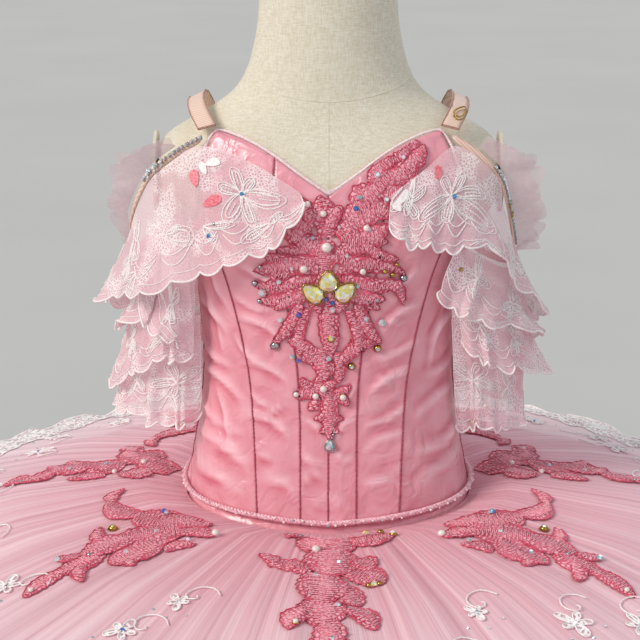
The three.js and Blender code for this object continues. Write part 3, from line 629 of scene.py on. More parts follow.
bodice = {
    "smoothing": 3, "wall": 1.2,
    # pulled creases of the front, in millimetres: angle and up of each end, depth, width, bow
    "creases": [
        (-44, 98, -24, 74, 1.5, 3.2, 4), (-48, 72, -30, 62, 1.2, 2.6, -3), (-46, 55, -22, 34, 1.6, 3.4, 5),
        (-50, 40, -34, 16, 1.3, 2.8, -4), (-46, 18, -21, 4, 1.5, 3.2, 4), (-44, -4, -26, -20, 1.2, 2.6, -3),
        (-43, -24, -20, -40, 1.5, 3.4, 4), (-39, -50, -18, -62, 1.2, 3.0, -4),
        (-37, -72, -17, -84, 1.4, 3.6, 4),
        (-38, 86, -28, 96, 0.9, 2.2, 2), (-33, 26, -24, 44, 1.0, 2.4, 3), (-34, -30, -22, -14, 1.0, 2.2, 3),
        (44, 96, 26, 80, 1.2, 3.0, 4), (47, 66, 28, 44, 1.5, 3.4, -5), (48, 36, 24, 24, 1.3, 3.0, 4),
        (45, 12, 22, -6, 1.5, 3.4, -4), (43, -16, 19, -30, 1.3, 3.0, 4), (41, -40, 18, -50, 1.4, 3.2, -3),
        (38, -66, 17, -74, 1.3, 3.4, 4), (40, 50, 30, 58, 0.9, 2.2, 2), (34, -2, 24, 10, 0.9, 2.2, -3),
        (-16, -26, -3, -38, 1.2, 2.8, 3), (-14, -52, -2, -62, 1.3, 3.0, -3), (-15, -78, -2, -70, 1.0, 2.6, 3),
        (16, -22, 3, -42, 1.2, 2.8, -3), (14, -56, 2, -50, 1.1, 2.6, 3), (15, -82, 3, -86, 1.0, 2.8, -2),
        (-16, 8, -8, -6, 0.9, 2.4, 2), (15, 4, 8, -12, 0.9, 2.4, 2), (-9, -94, 10, -92, 1.1, 4.0, 2),
        (-78, 60, -54, 40, 1.7, 4.0, 6), (-84, 30, -52, 12, 1.5, 3.8, -5), (-80, 2, -46, -14, 1.7, 4.2, 6),
        (-86, -22, -44, -40, 1.5, 3.8, -5), (-78, -52, -40, -66, 1.7, 4.4, 5),
        (-82, -78, -42, -88, 1.4, 4.2, 4),
        (-70, 78, -58, 20, 1.2, 3.0, 4), (-66, -6, -52, -58, 1.2, 3.0, 5), (-60, 88, -51, 60, 1.2, 3.0, -3),
        (80, 54, 54, 30, 1.5, 4.0, -6), (84, 20, 52, 4, 1.6, 4.0, 5), (78, -12, 46, -30, 1.5, 4.0, -5),
        (84, -42, 44, -56, 1.6, 4.2, 5), (80, -70, 42, -82, 1.4, 4.2, -4), (64, 60, 56, 6, 1.1, 3.0, -3),
        (-24, 128, -40, 118, 1.0, 3.0, 3), (26, 134, 44, 128, 1.0, 3.0, 3),
        (-30, 160, -48, 140, 1.1, 3.0, -4),
    ],
    "hiddenCreases": 70, "hiddenSeed": 4,
    "stitchGap": 2.5, "stitchLength": 1.9, "stitchRadius": 0.32, "seamRadius": 0.42,
}


def creaseRows():
    # The creases listed for the front, and similar ones strewn over the sides and back.
    strewn = random.Random(bodice["hiddenSeed"])
    rows = list(bodice["creases"])
    for _ in range(bodice["hiddenCreases"]):
        angle = strewn.uniform(92, 268)
        up = strewn.uniform(-92, 92)
        run = strewn.choice((-1, 1)) * strewn.uniform(12, 30)
        rows.append((
            angle, up, angle + run, up + strewn.uniform(-24, 10),
            strewn.uniform(0.9, 1.6), strewn.uniform(2.4, 4.2), strewn.uniform(-6, 6),
        ))
    return np.array(rows)


def creaseHeights(places, rows):
    # Height of the pucker at each place: a soft ridge with a trough along its lower side.
    angle = np.degrees(np.arctan2(places[:, 0], -places[:, 1]))
    up = (places[:, 2] - waist) / mm
    arc = 1.6  # millimetres of cloth to a degree
    total = np.zeros(len(places))
    for startAngle, startUp, endAngle, endUp, depth, width, bow in rows:
        turned = (angle - startAngle + 180) % 360 - 180
        run = np.array(((endAngle - startAngle) * arc, endUp - startUp))
        length = np.hypot(*run)
        run /= length
        offset = np.stack((turned * arc, up - startUp), 1)
        share = np.clip(offset @ run / length, 0, 1)
        swell = np.sin(np.pi * share)
        aside = offset @ np.array((-run[1], run[0])) - bow * swell
        beyond = np.abs(offset @ run / length - share) * length
        near = np.exp(-(beyond / 3) ** 2)
        ridge = np.exp(-(aside / width) ** 2) - 0.6 * np.exp(-((aside + 1.5 * width) / width) ** 2)
        total += depth * swell ** 0.6 * ridge * near
    return total


def addBodice():
    rows = creaseRows()
    panels = []
    for part in ("centre_front", "mid_front", "side_front", "side_back", "back"):
        for side in ("right", "left"):
            name = f"bodice_{part}_{side}"
            bm = subdivided(outerWall(name), bodice["smoothing"])
            bm.normal_update()
            fold = bm.verts.layers.float.new("fold")
            places = np.array([v.co for v in bm.verts])
            heights = creaseHeights(places, rows)
            for vert, height in zip(bm.verts, heights):
                ripple = 0.5 * noise.noise(vert.co / (14 * mm))
                atEdge = 0.25 if vert.is_boundary else 1.0
                # The pucker's height also drives the satin's painted shade in the trough and painted
                # highlight on the ridge.
                vert[fold] = max(-1.0, min(1.0, (height + ripple) / 1.25))
                vert.co += vert.normal * (1.5 * height + ripple) * atEdge * mm
            panels.append(addPiece(f"satin_{part}_{side}", bm, satin, [name],
                                   wall=bodice["wall"] * mm))
    return panels


def borderPoints(piece):
    bm = bmesh.new()
    bm.from_mesh(piece.data)
    found = [v.co.copy() for v in bm.verts if v.is_boundary]
    bm.free()
    return found


def addSeams(panels):
    # A stitched line down each seam: a fine cord in the groove with slanting stitches across it.
    pairs = [("centre_front_right", "centre_front_left")]
    for side in ("right", "left"):
        for one, other in (("centre_front", "mid_front"), ("mid_front", "side_front"),
                           ("side_front", "side_back"), ("side_back", "back")):
            pairs.append((f"{one}_{side}", f"{other}_{side}"))
    byName = {piece.name[6:]: piece for piece in panels}
    borders = {name: borderPoints(piece) for name, piece in byName.items()}
    bm = bmesh.new()
    for one, other in pairs:
        near = [p for p in borders[one] if min((p - q).length for q in borders[other]) < 1.6 * mm]
        near.sort(key=lambda p: p.z)
        line = [near[0]]
        for p in near[1:]:
            if p.z - line[-1].z > 1.5 * mm:
                line.append(p)
        outward = [(p * Vector((1, 1, 0))).normalized() for p in line]
        raised = [p + o * 0.25 * mm for p, o in zip(line, outward)]
        cordMesh(bm, [raised], bodice["seamRadius"] * mm, sides=1)
        length = (line[-1] - line[0]).length
        count = int(length / (bodice["stitchGap"] * mm))
        smooth = curveThrough(raised, count)
        stitches = []
        for k in range(1, count - 1):
            along = (smooth[k + 1] - smooth[k - 1]).normalized()
            out = (smooth[k] * Vector((1, 1, 0))).normalized()
            slant = (along.cross(out) * 0.8 + along * 0.6) * bodice["stitchLength"] / 2 * mm
            lift = out * 0.35 * mm
            stitches.append([smooth[k] - slant + lift * 0.4, smooth[k] + lift,
                             smooth[k] + slant + lift * 0.4])
        cordMesh(bm, stitches, bodice["stitchRadius"] * mm, sides=0)
    addPiece("seam_stitching", bm, seamThread)


panels = addBodice()
addSeams(panels)
bodiceTree = treeOf(panels)
print("bodice made")


def onBodice(x, up, lift=0.0):
    # Point of the bodice in front of which x and up lie, in millimetres, and its outward normal.
    place, normal, _, _ = bodiceTree.ray_cast(Vector((x * mm, -0.4, waist + up * mm)), Vector((0, 1, 0)))
    if place is None:
        place, normal, _, _ = bodiceTree.find_nearest(Vector((x * mm, -0.08, waist + up * mm)))
    return place + normal * lift * mm, normal

# Trim, straps and back fastening.


def strip(name, materialName, slotName, levels=2, newName=None):
    piece = subdivided(mergedCopy(name), levels, 55)
    return addPiece(newName or name + "_" + slotName, piece, materialName, [name])


strip("neckline_binding", pipingThread, "piping", 2, "neckline_piping")

braid = {
    "strandRadius": 1.15, "twistRadius": 1.15, "twistLength": 9.0, "strands": 3,
    "pearlGap": 8.5, "pearlSize": 2.0, "crystalEvery": 3,
}


def ringLine(name, count):
    # Middle line of a ring-shaped node, from its mean place in each slice round the body.
    bm = mergedCopy(name)
    slices = {}
    for vert in bm.verts:
        slices.setdefault(round(math.degrees(math.atan2(vert.co.x, -vert.co.y)) / 10) % 36,
                          []).append(vert.co.copy())
    bm.free()
    middles = [sum(slices[k], Vector()) / len(slices[k]) for k in sorted(slices)]
    line = curveThrough(middles + middles[:1], count + 1)
    return line[:-1]


def addStone(stones, kind, place, normal, size, turn=0.0):
    # One stone into the joined mesh of its kind: round, drop, oval or pearl, in a claw setting or not.
    bm = stones[kind]
    first, second, third = standingBasis(normal, turn)
    if kind == "pearl":
        made = bmesh.ops.create_icosphere(bm, subdivisions=2, radius=1.0)["verts"]
    else:
        made = bmesh.ops.create_cone(bm, cap_ends=True, segments=8, radius1=1.0, radius2=0.55,
                                     depth=0.7)["verts"]
    for vert in made:
        local = vert.co.copy()
        vert.co = place + (first * local.x + second * local.y + third * local.z * 0.85) * size / 2 * mm


def addOvalStone(stones, kind, place, normal, length, width, turn):
    # A pear or oval stone: a faceted dome drawn out along its turn.
    bm = stones[kind]
    first, second, third = standingBasis(normal, turn)
    for vert in bmesh.ops.create_icosphere(bm, subdivisions=2, radius=1.0)["verts"]:
        x, y, z = vert.co
        taper = 1 - 0.35 * x
        vert.co = place + (first * x * length + second * y * width * taper
                           + third * z * width * 0.55) / 2 * mm


def addRim(bm, place, normal, length, width, turn, radius=0.32):
    # The metal rim round a set stone.
    first, second, _ = standingBasis(normal, turn)
    ring = []
    for i in range(18):
        a = math.tau * i / 18
        ring.append(place + (first * math.cos(a) * length
                             + second * math.sin(a) * width * (1 - 0.35 * math.cos(a) * (length > width)))
                             / 2 * mm)
    cordMesh(bm, [ring], radius * mm, closed=True, sides=0)


def newStones():
    return {kind: bmesh.new() for kind in stoneFinishes}


stoneFinishes = {"pearl": pearl, "crystal": crystal, "blue": blueCrystal, "yellow": yellowCrystal,
                 "gold": gold, "silver": silver}


def finishStones(prefix, stones):
    for kind, bm in stones.items():
        if bm.verts:
            piece = addPiece(f"{prefix}_{kind}", bm, stoneFinishes[kind])
            if kind in ("crystal", "blue", "yellow"):
                piece.data.polygons.foreach_set("use_smooth", [False] * len(piece.data.polygons))
        else:
            bm.free()


def addBraid():
    line = ringLine("waist_trim", 1080)
    bm = bmesh.new()
    length = sum((b - a).length for a, b in zip(line, line[1:] + line[:1])) / mm
    turns = round(length / braid["twistLength"])
    strands = []
    for k in range(braid["strands"]):
        strand = []
        for i, place in enumerate(line):
            along = (line[(i + 1) % len(line)] - line[i - 1]).normalized()
            out = (place * Vector((1, 1, 0))).normalized()
            side = along.cross(out)
            a = math.tau * (turns * i / len(line) + k / braid["strands"])
            strand.append(place + (out * math.cos(a) + side * math.sin(a)) * braid["twistRadius"] * mm)
        strands.append(strand)
    cordMesh(bm, strands, braid["strandRadius"] * mm, closed=True, sides=1)
    addPiece("waist_braid", bm, braidThread, ["waist_trim"])

    stones = newStones()
    strewn = random.Random(8)
    step = len(line) * braid["pearlGap"] / length
    count = int(len(line) / step)
    for k in range(count):
        place = line[int(k * step)]
        out = (place * Vector((1, 1, 0))).normalized()
        aside = Vector((0, 0, strewn.uniform(-1.4, 1.8) * mm))
        kind = "crystal" if k % braid["crystalEvery"] == 0 else "pearl"
        addStone(stones, kind, place + out * 2.3 * mm + aside, out,
                 braid["pearlSize"] * strewn.uniform(0.8, 1.3))
    finishStones("waist_braid_stones", stones)


addBraid()


def addStraps():
    for side in ("right", "left"):
        strip(f"strap_{side}", elastic, "elastic", 2, f"strap_{side}_plush")
        bm = bmesh.new()
        edges = []
        coarse = mergedCopy(f"strap_{side}")
        borders = [e for e in coarse.edges if e.calc_face_angle(0) > math.radians(60)]
        for edge in borders:
            edges.append([vert.co.copy() for vert in edge.verts])
        coarse.free()
        cordMesh(bm, edges, 0.45 * mm, sides=0)
        addPiece(f"strap_{side}_edges", bm, elasticEdge)
    # small ring slider on the left strap, just above the corner
    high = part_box("strap_left")[1]
    strap = treeOf([bpy.data.objects["strap_left_plush"]])
    place, normal, _, _ = strap.ray_cast(Vector((high.x - 9 * mm, -0.4, high.z - 12 * mm)), Vector((0, 1, 0)))
    if place is not None:
        bm = bmesh.new()
        for offset in (-4.6, 4.6):
            addRim(bm, place + normal * 0.6 * mm + Vector((0, 0, offset * 0.3 * mm)), normal, 17, 7, 0.5, 0.7)
        addPiece("strap_slider", bm, gold)


addStraps()


def addPlacket():
    # Hook-and-bar tape down the centre back, with steel hooks sewn along it.
    piece = strip("back_placket", satin, "satin", 2, "back_placket_satin")
    tree = treeOf([piece])
    low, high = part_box("back_placket")
    bm = bmesh.new()
    count = 12
    for k in range(count):
        z = low.z + (high.z - low.z) * (k + 0.5) / count
        for x, width in ((-3.2, 2.6), (2.2, 3.4)):
            place = tree.ray_cast(Vector((x * mm, 0.4, z)), Vector((0, -1, 0)))[0]
            if place is None:
                continue
            bend = [(-1, 0, 0), (-1, 0, 1), (0, 0.2, 1.15), (1, 0, 1), (1, 0, 0)]
            cordMesh(bm, [[place + Vector((a * width, d * 1.4 + 0.2, b * 1.5 - 0.7)) * mm for a, b,
                           d in bend]], 0.4 * mm, sides=1)
    addPiece("back_hooks", bm, steel)
    stitches = bmesh.new()
    lines = []
    for x in (-6, 6):
        for k in range(64):
            z = low.z + (high.z - low.z) * (k + 0.3) / 64
            ends = []
            for step in (0, 0.5):
                hit = tree.ray_cast(Vector((x * mm, 0.4, z + step * (high.z - low.z) / 64)),
                                    Vector((0, -1, 0)))[0]
                if hit is not None:
                    ends.append(hit + Vector((0, 0.15 * mm, 0)))
            if len(ends) == 2:
                lines.append(ends)
    cordMesh(stitches, lines, 0.28 * mm, sides=0)
    addPiece("back_placket_stitches", stitches, seamThread)


addPlacket()
strip("basque", satin, "satin", 2, "basque_satin")
print("trim, straps and fastening made")

# Sleeves.

sleeve = {
    "columns": (300, 200, 200, 200), "rows": 26,
    "scallops": (17, 12, 12, 11), "scallopDepth": 5.5,
    "ripple": 5.0, "hemCord": 0.85, "echoCord": 0.42, "stitchCord": 0.52,
    # flowers of the first flounces: x and up of the centre, then petals by turn, length and width
    "frontFlowers": {
        "right": [
            (-67, 156, [(-6, 37, 25), (52, 21, 9), (96, 21, 13), (165, 18, 11), (232, 26, 15),
                        (278, 27, 13)]),
            (-124, 118, [(-28, 31, 19), (-4, 15, 7)]),
            (-149, 108, [(120, 21, 15), (-75, 21, 15)]),
            (-45, 134, [(200, 26, 9), (20, 12, 9)]),
            (-150, 86, [(-110, 20, 14), (200, 20, 11)]),
            (-98, 128, [(-60, 14, 9), (-10, 26, 8)]),
        ],
        "left": [
            (95, 151, [(-36, 42, 25), (14, 29, 14), (62, 21, 9), (118, 20, 9), (205, 33, 20), (262, 21, 12)]),
            (66, 168, [(200, 27, 17), (240, 17, 9)]),
            (60, 150, [(-50, 17, 9), (10, 17, 9)]),
            (118, 112, [(-20, 24, 14), (205, 22, 12)]),
            (138, 96, [(-70, 24, 14), (-20, 17, 10)]),
        ],
    },
    # coral and white satin petals under the net: x, up, length, width, turn
    "satinPetals": {
        "right": [("coral", -89, 180, 17, 11, 75), ("coral", -101, 156, 14, 11, 100),
                  ("coral", -97, 142, 16, 11, 15),
                  ("white", -96, 171, 13, 9, 20), ("white", -93, 168, 11, 8, 110),
                  ("white", -32, 170, 11, 9, 160), ("white", -28, 166, 10, 8, 40)],
        "left": [("white", 50, 146, 12, 9, 30), ("white", 54, 142, 10, 8, 120),
                 ("coral", 82, 172, 13, 9, -60), ("white", 72, 186, 10, 8, 10)],
    },
    # flowers of every flounce: tier, share from the front edge, share down, turn, size of a petal, petals
    "strewnFlowers": [
        (0, 0.5, 0.66, 20, 17, 5), (0, 0.62, 0.45, 70, 19, 5), (0, 0.76, 0.62, 10, 18, 5),
        (0, 0.9, 0.5, 40, 17, 5),
        (1, 0.16, 0.6, 15, 18, 4), (1, 0.4, 0.6, 60, 17, 5), (1, 0.62, 0.62, 30, 16, 4),
        (1, 0.85, 0.6, 80, 16, 5),
        (2, 0.15, 0.6, 40, 18, 4), (2, 0.42, 0.58, 0, 17, 5), (2, 0.64, 0.6, 55, 16, 4),
        (2, 0.87, 0.6, 20, 16, 5),
        (3, 0.15, 0.6, 0, 19, 5), (3, 0.42, 0.6, 36, 17, 4), (3, 0.64, 0.6, 18, 16, 5),
        (3, 0.87, 0.6, 60, 16, 4),
    ],
    # stones: kind, x, up, size
    "stones": {
        "right": [
            ("blue", -67, 156, 4.2), ("silver", -124, 118, 3.6), ("silver", -88, 128, 3.4),
            ("blue", -91, 121, 4.0),
            ("pearl", -163, 34, 3.6), ("gold", -163, 39, 3.0), ("crystal", -109, 44, 2.6),
        ],
        "left": [
            ("blue", 96, 151, 4.6), ("gold", 103, 91, 3.8), ("pearl", 128, -26, 3.2),
            ("crystal", 119, 68, 2.6), ("crystal", 139, 106, 2.4),
        ],
    },
}


def edgeChains(name, spans):
    # The upper and lower edges of a flounce or band, each from its front to its back.
    # Spans is how many quads it is across, from its upper to its lower edge.
    bm = outerWall(name)
    bm.verts.ensure_lookup_table()
    border = [e for e in bm.edges if e.is_boundary]
    loop = [border[0].verts[0]]
    used, here = set(), border[0].verts[0]
    while True:
        onward = [e for e in here.link_edges if e.is_boundary and e not in used]
        if not onward:
            break
        used.add(onward[0])
        here = onward[0].other_vert(here)
        if here is loop[0]:
            break
        loop.append(here)
    count = len(loop)

    def bend(i):
        before = loop[i].co - loop[i - 1].co
        after = loop[(i + 1) % count].co - loop[i].co
        return before.angle(after)

    run = count // 2 - spans
    first = max(range(count), key=lambda k: sum(bend((k + step) % count)
                                                for step in (0, run, run + spans, count - spans)))
    chains = []
    for start in (first, first + run + spans):
        chain = [loop[i % count].co.copy() for i in range(start, start + run + 1)]
        if chain[0].y > chain[-1].y:
            chain.reverse()
        chains.append(chain)
    bm.free()
    return chains


def meanOf(chain):
    return sum(chain, Vector()) / len(chain)


def flounceGrid(name, columns, rows, scallops, seed):
    chains = edgeChains(name, 3 if "flounce_1" in name else 2)  # the longest flounce is three quads deep
    top, hem = sorted(chains, key=lambda chain: -meanOf(chain).z)
    surface = subdivided(outerWall(name), 2)
    tree = BVHTree.FromBMesh(surface)
    surface.free()
    topLine = curveThrough(top, columns)
    hemLine = curveThrough(hem, columns)
    chance = random.Random(seed)
    phases = [chance.uniform(0, math.tau) for _ in range(4)]
    grid = []
    for j in range(rows):
        v = j / (rows - 1)
        line = []
        for i in range(columns):
            u = i / (columns - 1)
            between = topLine[i].lerp(hemLine[i], v)
            place, normal, _, _ = tree.find_nearest(between)
            if j in (0, rows - 1):
                place = between
            wave = math.sin(math.tau * 6 * u + phases[0] + 1.4 * math.sin(math.tau * 2 * u + phases[1]))
            wave += 0.35 * math.sin(math.tau * 14 * u + phases[2]) + 0.4 * noise.noise(place / (16 * mm))
            calm = min(1.0, 0.2 + 9 * u, 0.2 + 9 * (1 - u))
            line.append(place + normal * sleeve["ripple"] * 0.55 * wave * calm * v ** 1.4 * mm)
        grid.append(line)
    for i in range(columns):
        u = i / (columns - 1)
        fall = (hemLine[i] - topLine[i]).normalized()
        dip = abs(math.sin(math.pi * scallops * u)) ** 0.7 - 0.5
        for j in range(rows):
            v = j / (rows - 1)
            reach = max(0.0, (v - 0.8) / 0.2) ** 1.5
            grid[j][i] = grid[j][i] + fall * dip * sleeve["scallopDepth"] * reach * mm
    return grid


def onGrid(grid, u, v, lift=0.0):
    rows, columns = len(grid), len(grid[0])
    x = min(max(u, 0.0), 1.0) * (columns - 1)
    y = min(max(v, 0.0), 1.0) * (rows - 1)
    i, j = min(int(x), columns - 2), min(int(y), rows - 2)
    s, t = x - i, y - j
    near, far, below, corner = grid[j][i], grid[j][i + 1], grid[j + 1][i], grid[j + 1][i + 1]
    place = near.lerp(far, s).lerp(below.lerp(corner, s), t)
    normal = (below - near).cross(far - near).normalized()
    if normal.dot(place * Vector((1, 1, 0))) < 0:
        normal.negate()
    return place + normal * lift * mm, normal


def sheetOf(grid, name, material, replaced=()):
    rows, columns = len(grid), len(grid[0])
    bm = bmesh.new()
    bm.loops.layers.uv.new("UVMap")
    bmesh.ops.create_grid(bm, x_segments=columns - 1, y_segments=rows - 1, size=1.0, calc_uvs=True)
    for vert in bm.verts:
        i = round((vert.co.x + 1) / 2 * (columns - 1))
        j = round((vert.co.y + 1) / 2 * (rows - 1))
        vert.co = grid[j][i]
    bm.normal_update()
    outward = sum(f.normal.dot(f.calc_center_median() * Vector((1, 1, 0.2))) for f in bm.faces)
    if outward < 0:
        bmesh.ops.reverse_faces(bm, faces=bm.faces)
    addPiece(name, bm, material, replaced)


def petalLoop(turn, length, width, count=20):
    # Outline of a petal from its base at the origin, in millimetres.
    made = []
    c, s = math.cos(math.radians(turn)), math.sin(math.radians(turn))
    for k in range(count + 1):
        a = math.tau * k / count
        along = length * (1 - math.cos(a)) / 2
        aside = width / 2 * math.sin(a) * (0.45 + 0.55 * along / length)
        made.append((along * c - aside * s, along * s + aside * c))
    return made


def drawOnGrid(grid, u, v, strokes, lift, mirror=1):
    # Strokes drawn in millimetres round a place of the cloth, up being towards its upper edge.
    step = 0.01
    wide = (onGrid(grid, min(u + step, 1), v)[0] - onGrid(grid, max(u - step, 0), v)[0]).length / 2 / step
    tall = (onGrid(grid, u, min(v + 0.1, 1))[0] - onGrid(grid, u, max(v - 0.1, 0))[0]).length / 0.2
    drawn = []
    for stroke in strokes:
        path = []
        for a, b in stroke:
            uu = u + mirror * a * mm / wide
            vv = v - b * mm / tall
            if -0.005 < uu < 1.005 and 0.01 < vv < 0.99:
                path.append(onGrid(grid, uu, vv, lift)[0])
            elif len(path) > 2:
                drawn.append(path)
                path = []
            else:
                path = []
        if len(path) > 2:
            drawn.append(path)
    return drawn


def flowerStrokes(petals):
    strokes = []
    for turn, length, width in petals:
        loop = petalLoop(turn, length, width)
        strokes.append(loop)
        if length > 12:
            strokes.append([(x * 0.86, y * 0.86) for x, y in petalLoop(turn, length, width * 0.72)])
        c, s = math.cos(math.radians(turn)), math.sin(math.radians(turn))
        for k in range(int(length / 3.4)):
            along = 0.42 * length + k * 2.1
            if along > 0.82 * length:
                break
            half = width * 0.2
            for shift in (-1, 0, 1):
                mid = (along + 0.5 * shift, shift * half)
                ends = [(mid[0] + d * 0.9, mid[1] + d * 0.35) for d in (-1, 0, 1)]
                strokes.append([(x * c - y * s, x * s + y * c) for x, y in ends])
    return strokes


def nearestOnGrid(grid, x, up):
    best, found = 1e9, (0.5, 0.5)
    rows, columns = len(grid), len(grid[0])
    for j in range(0, rows, 2):
        for i in range(0, int(columns * 0.62), 3):
            p = grid[j][i]
            gap = (p.x / mm - x) ** 2 + ((p.z - waist) / mm - up) ** 2
            if gap < best:
                best, found = gap, (i / (columns - 1), j / (rows - 1))
    return found


sleeveGrids = {}


def addSleeve(side):
    sign = -1 if side == "right" else 1
    stones = newStones()
    for tier in range(4):
        name = f"sleeve_flounce_{tier + 1}_{side}"
        grid = flounceGrid(name, sleeve["columns"][tier], sleeve["rows"], sleeve["scallops"][tier],
                           10 * tier + (side == "left"))
        sleeveGrids[side, tier] = grid
        sheetOf(grid, f"lace_flounce_{tier + 1}_{side}", lace, [name])
        work = bmesh.new()
        edge = [onGrid(grid, k / 400, 1.0, 0.1)[0] for k in range(401)]
        cordMesh(work, [edge], sleeve["hemCord"] * mm, sides=1)
        echo = [onGrid(grid, k / 300, 0.93, 0.3)[0] for k in range(3, 298)]
        cordMesh(work, [echo], sleeve["echoCord"] * mm, sides=0)
        for u in (0.0, 1.0):
            cordMesh(work, [[onGrid(grid, u, 0.2 + 0.8 * k / 30, 0.1)[0] for k in range(31)]], 0.4 * mm,
                     sides=0)
        strokes = []
        for row, u, v, turn, size, petals in sleeve["strewnFlowers"]:
            if row == tier:
                flower = flowerStrokes([(turn + 360 * k / petals, size * (1 if k % 2 else 0.8), size * 0.55)
                                        for k in range(petals)])
                strokes += drawOnGrid(grid, u, v, flower, 0.35)
        if tier == 0:
            for x, up, petals in sleeve["frontFlowers"][side]:
                u, v = nearestOnGrid(grid, x, up)
                strokes += drawOnGrid(grid, u, v, flowerStrokes(petals), 0.4, mirror=sign)
        strokes += festoons(grid, 9 if tier else 13)
        cordMesh(work, strokes, sleeve["stitchCord"] * mm, sides=0)
        addPiece(f"embroidery_{tier + 1}_{side}", work, whiteCord)
    addSatinPetals(side, sleeveGrids[side, 0], sign)
    for kind, x, up, size in sleeve["stones"][side]:
        best = None
        for tier in range(4):
            grid = sleeveGrids[side, tier]
            u, v = nearestOnGrid(grid, x, up)
            place, normal = onGrid(grid, u, v, 0.9)
            gap = (place.x / mm - x) ** 2 + ((place.z - waist) / mm - up) ** 2
            if best is None or gap < best[0] - 4:
                best = (gap, place, normal)
        addStone(stones, kind, best[1], best[2], size)
    finishStones(f"sleeve_stones_{side}", stones)


def addSatinPetals(side, grid, sign):
    made = {"coral": bmesh.new(), "white": bmesh.new()}
    for colour, x, up, length, width, turn in sleeve["satinPetals"][side]:
        u, v = nearestOnGrid(grid, x, up)
        for path in drawOnGrid(grid, u, v, [petalLoop(turn, length, width, 15)], 0.9, mirror=sign):
            if len(path) < 8:
                continue
            ring = bmesh.ops.create_circle(made[colour], cap_ends=True, segments=len(path) - 1,
                                           radius=1.0)["verts"]
            for vert, place in zip(ring, path):
                vert.co = place
    for colour, bm in made.items():
        bmesh.ops.triangulate(bm, faces=bm.faces)
        bm.normal_update()
        bmesh.ops.reverse_faces(bm, faces=[f for f in bm.faces
                                           if f.normal.dot(f.calc_center_median() * Vector((1, 1, 0))) < 0])
        addPiece(f"satin_petals_{colour}_{side}", bm, coralSatin if colour == "coral" else whiteCord)


def festoons(grid, count):
    # Swags of thread that hang in a row above the scalloped hem.
    made = []
    for k in range(count):
        start, end = k / count + 0.006, (k + 1) / count - 0.006
        for drop, level in ((0.12, 0.74), (0.07, 0.7)):
            made.append([onGrid(grid, start + (end - start) * t / 14,
                                level + drop * math.sin(math.pi * t / 14), 0.3)[0] for t in range(15)])
    return made


for side in ("right", "left"):
    addSleeve(side)
print("sleeves made")

frill = {
    "petals": 9, "rows": 8, "columns": 312, "petalDepth": 8.0, "ripple": 4.2,
    "chainGap": 3.9, "chainStone": 3.3,
    # rhinestone chains by side: shares of the armhole band from its front, and the big stones on it
    "chains": {"right": (0.0, 0.3, [0.2, 0.23, 0.26]), "left": (0.22, 0.52, [0.36, 0.39])},
}


def bandLine(side, count):
    # Outer middle line of the armhole band from its front end to its back end.
    chains = edgeChains(f"sleeve_band_{side}", 1)
    chains = [curveThrough(chain, count) for chain in chains]
    return [(a + b) / 2 for a, b in zip(*chains)]


def frillLines(side, columns):
    # Sewn line and outer line of a frill, from the front to the back, by its reach beyond the armhole band.
    line = bandLine(side, 241)
    bm = mergedCopy(f"sleeve_frill_{side}")
    bins = {}
    for vert in bm.verts:
        k = min(range(len(line)), key=lambda i: (line[i] - vert.co).length)
        out = (line[k] * Vector((1, 1, 0))).normalized()
        reach = (vert.co - line[k]).dot(out)
        if k // 18 not in bins or bins[k // 18][0] < reach:
            bins[k // 18] = (reach, k, vert.co.copy())
    bm.free()
    sewn, outer = [], []
    for number in sorted(bins):
        _, k, tip = bins[number]
        out = (line[k] * Vector((1, 1, 0))).normalized()
        sewn.append(line[k] + (out * 2.0 + Vector((0, 0, 4.5))) * mm)
        outer.append(tip)
    return curveThrough(sewn, columns), curveThrough(outer, columns)


def addFrill(side):
    columns, rows = frill["columns"], frill["rows"]
    innerLine, outerLine = frillLines(side, columns)
    for layer, (lean, reach) in enumerate(((0.0, 1.0), (0.55, 0.82))):
        grid = []
        for j in range(rows):
            v = j / (rows - 1)
            line = []
            for i in range(columns):
                u = i / (columns - 1)
                spread = (outerLine[i] - innerLine[i]) * reach
                away = spread.normalized()
                wave = math.sin(math.pi * frill["petals"] * u + layer * 1.3 + 0.8 * math.sin(9 * u))
                calm = min(1.0, 8 * u, 8 * (1 - u))
                petal = (abs(wave) ** 0.8 - 0.4) * frill["petalDepth"] * v ** 2 * calm
                place = innerLine[i] + spread * v + away * petal * mm
                line.append(place + Vector((0, 0, wave * frill["ripple"] * v * calm + lean * 9 * v * v)) * mm)
            grid.append(line)
        replaced = [f"sleeve_frill_{side}"] if layer == 0 else []
        sheetOf(grid, f"tulle_frill_{layer + 1}_{side}", frillTulle, replaced)


def addChain(side):
    line = bandLine(side, 240)
    start, end, clusters = frill["chains"][side]
    stones = newStones()
    travelled, last = 1e9, None
    for i in range(int(start * 239), int(end * 239)):
        place = line[i]
        if last is not None:
            travelled += (place - last).length / mm
        last = place
        if travelled < frill["chainGap"]:
            continue
        travelled = 0
        out = (place * Vector((1, 1, 0))).normalized()
        seat = place + (out * 1.4 + Vector((0, 0, 1.0))) * mm
        addStone(stones, "silver", seat, out, frill["chainStone"] + 0.7)
        addStone(stones, "crystal", seat + out * 1.1 * mm, out, frill["chainStone"])
    for share in clusters:
        place = line[int(share * 239)]
        out = (place * Vector((1, 1, 0))).normalized()
        kind = "crystal" if side == "right" else "gold"
        for k in range(5):
            a = math.tau * k / 5
            around = Vector((0, 0, 1)) * math.sin(a) + out.cross(Vector((0, 0, 1))) * math.cos(a)
            addStone(stones, kind, place + out * 2.6 * mm + around * 3.0 * mm, out, 2.8)
        addStone(stones, "pearl" if side == "right" else "silver", place + out * 3 * mm, out, 3.2)
    finishStones(f"shoulder_chain_{side}", stones)


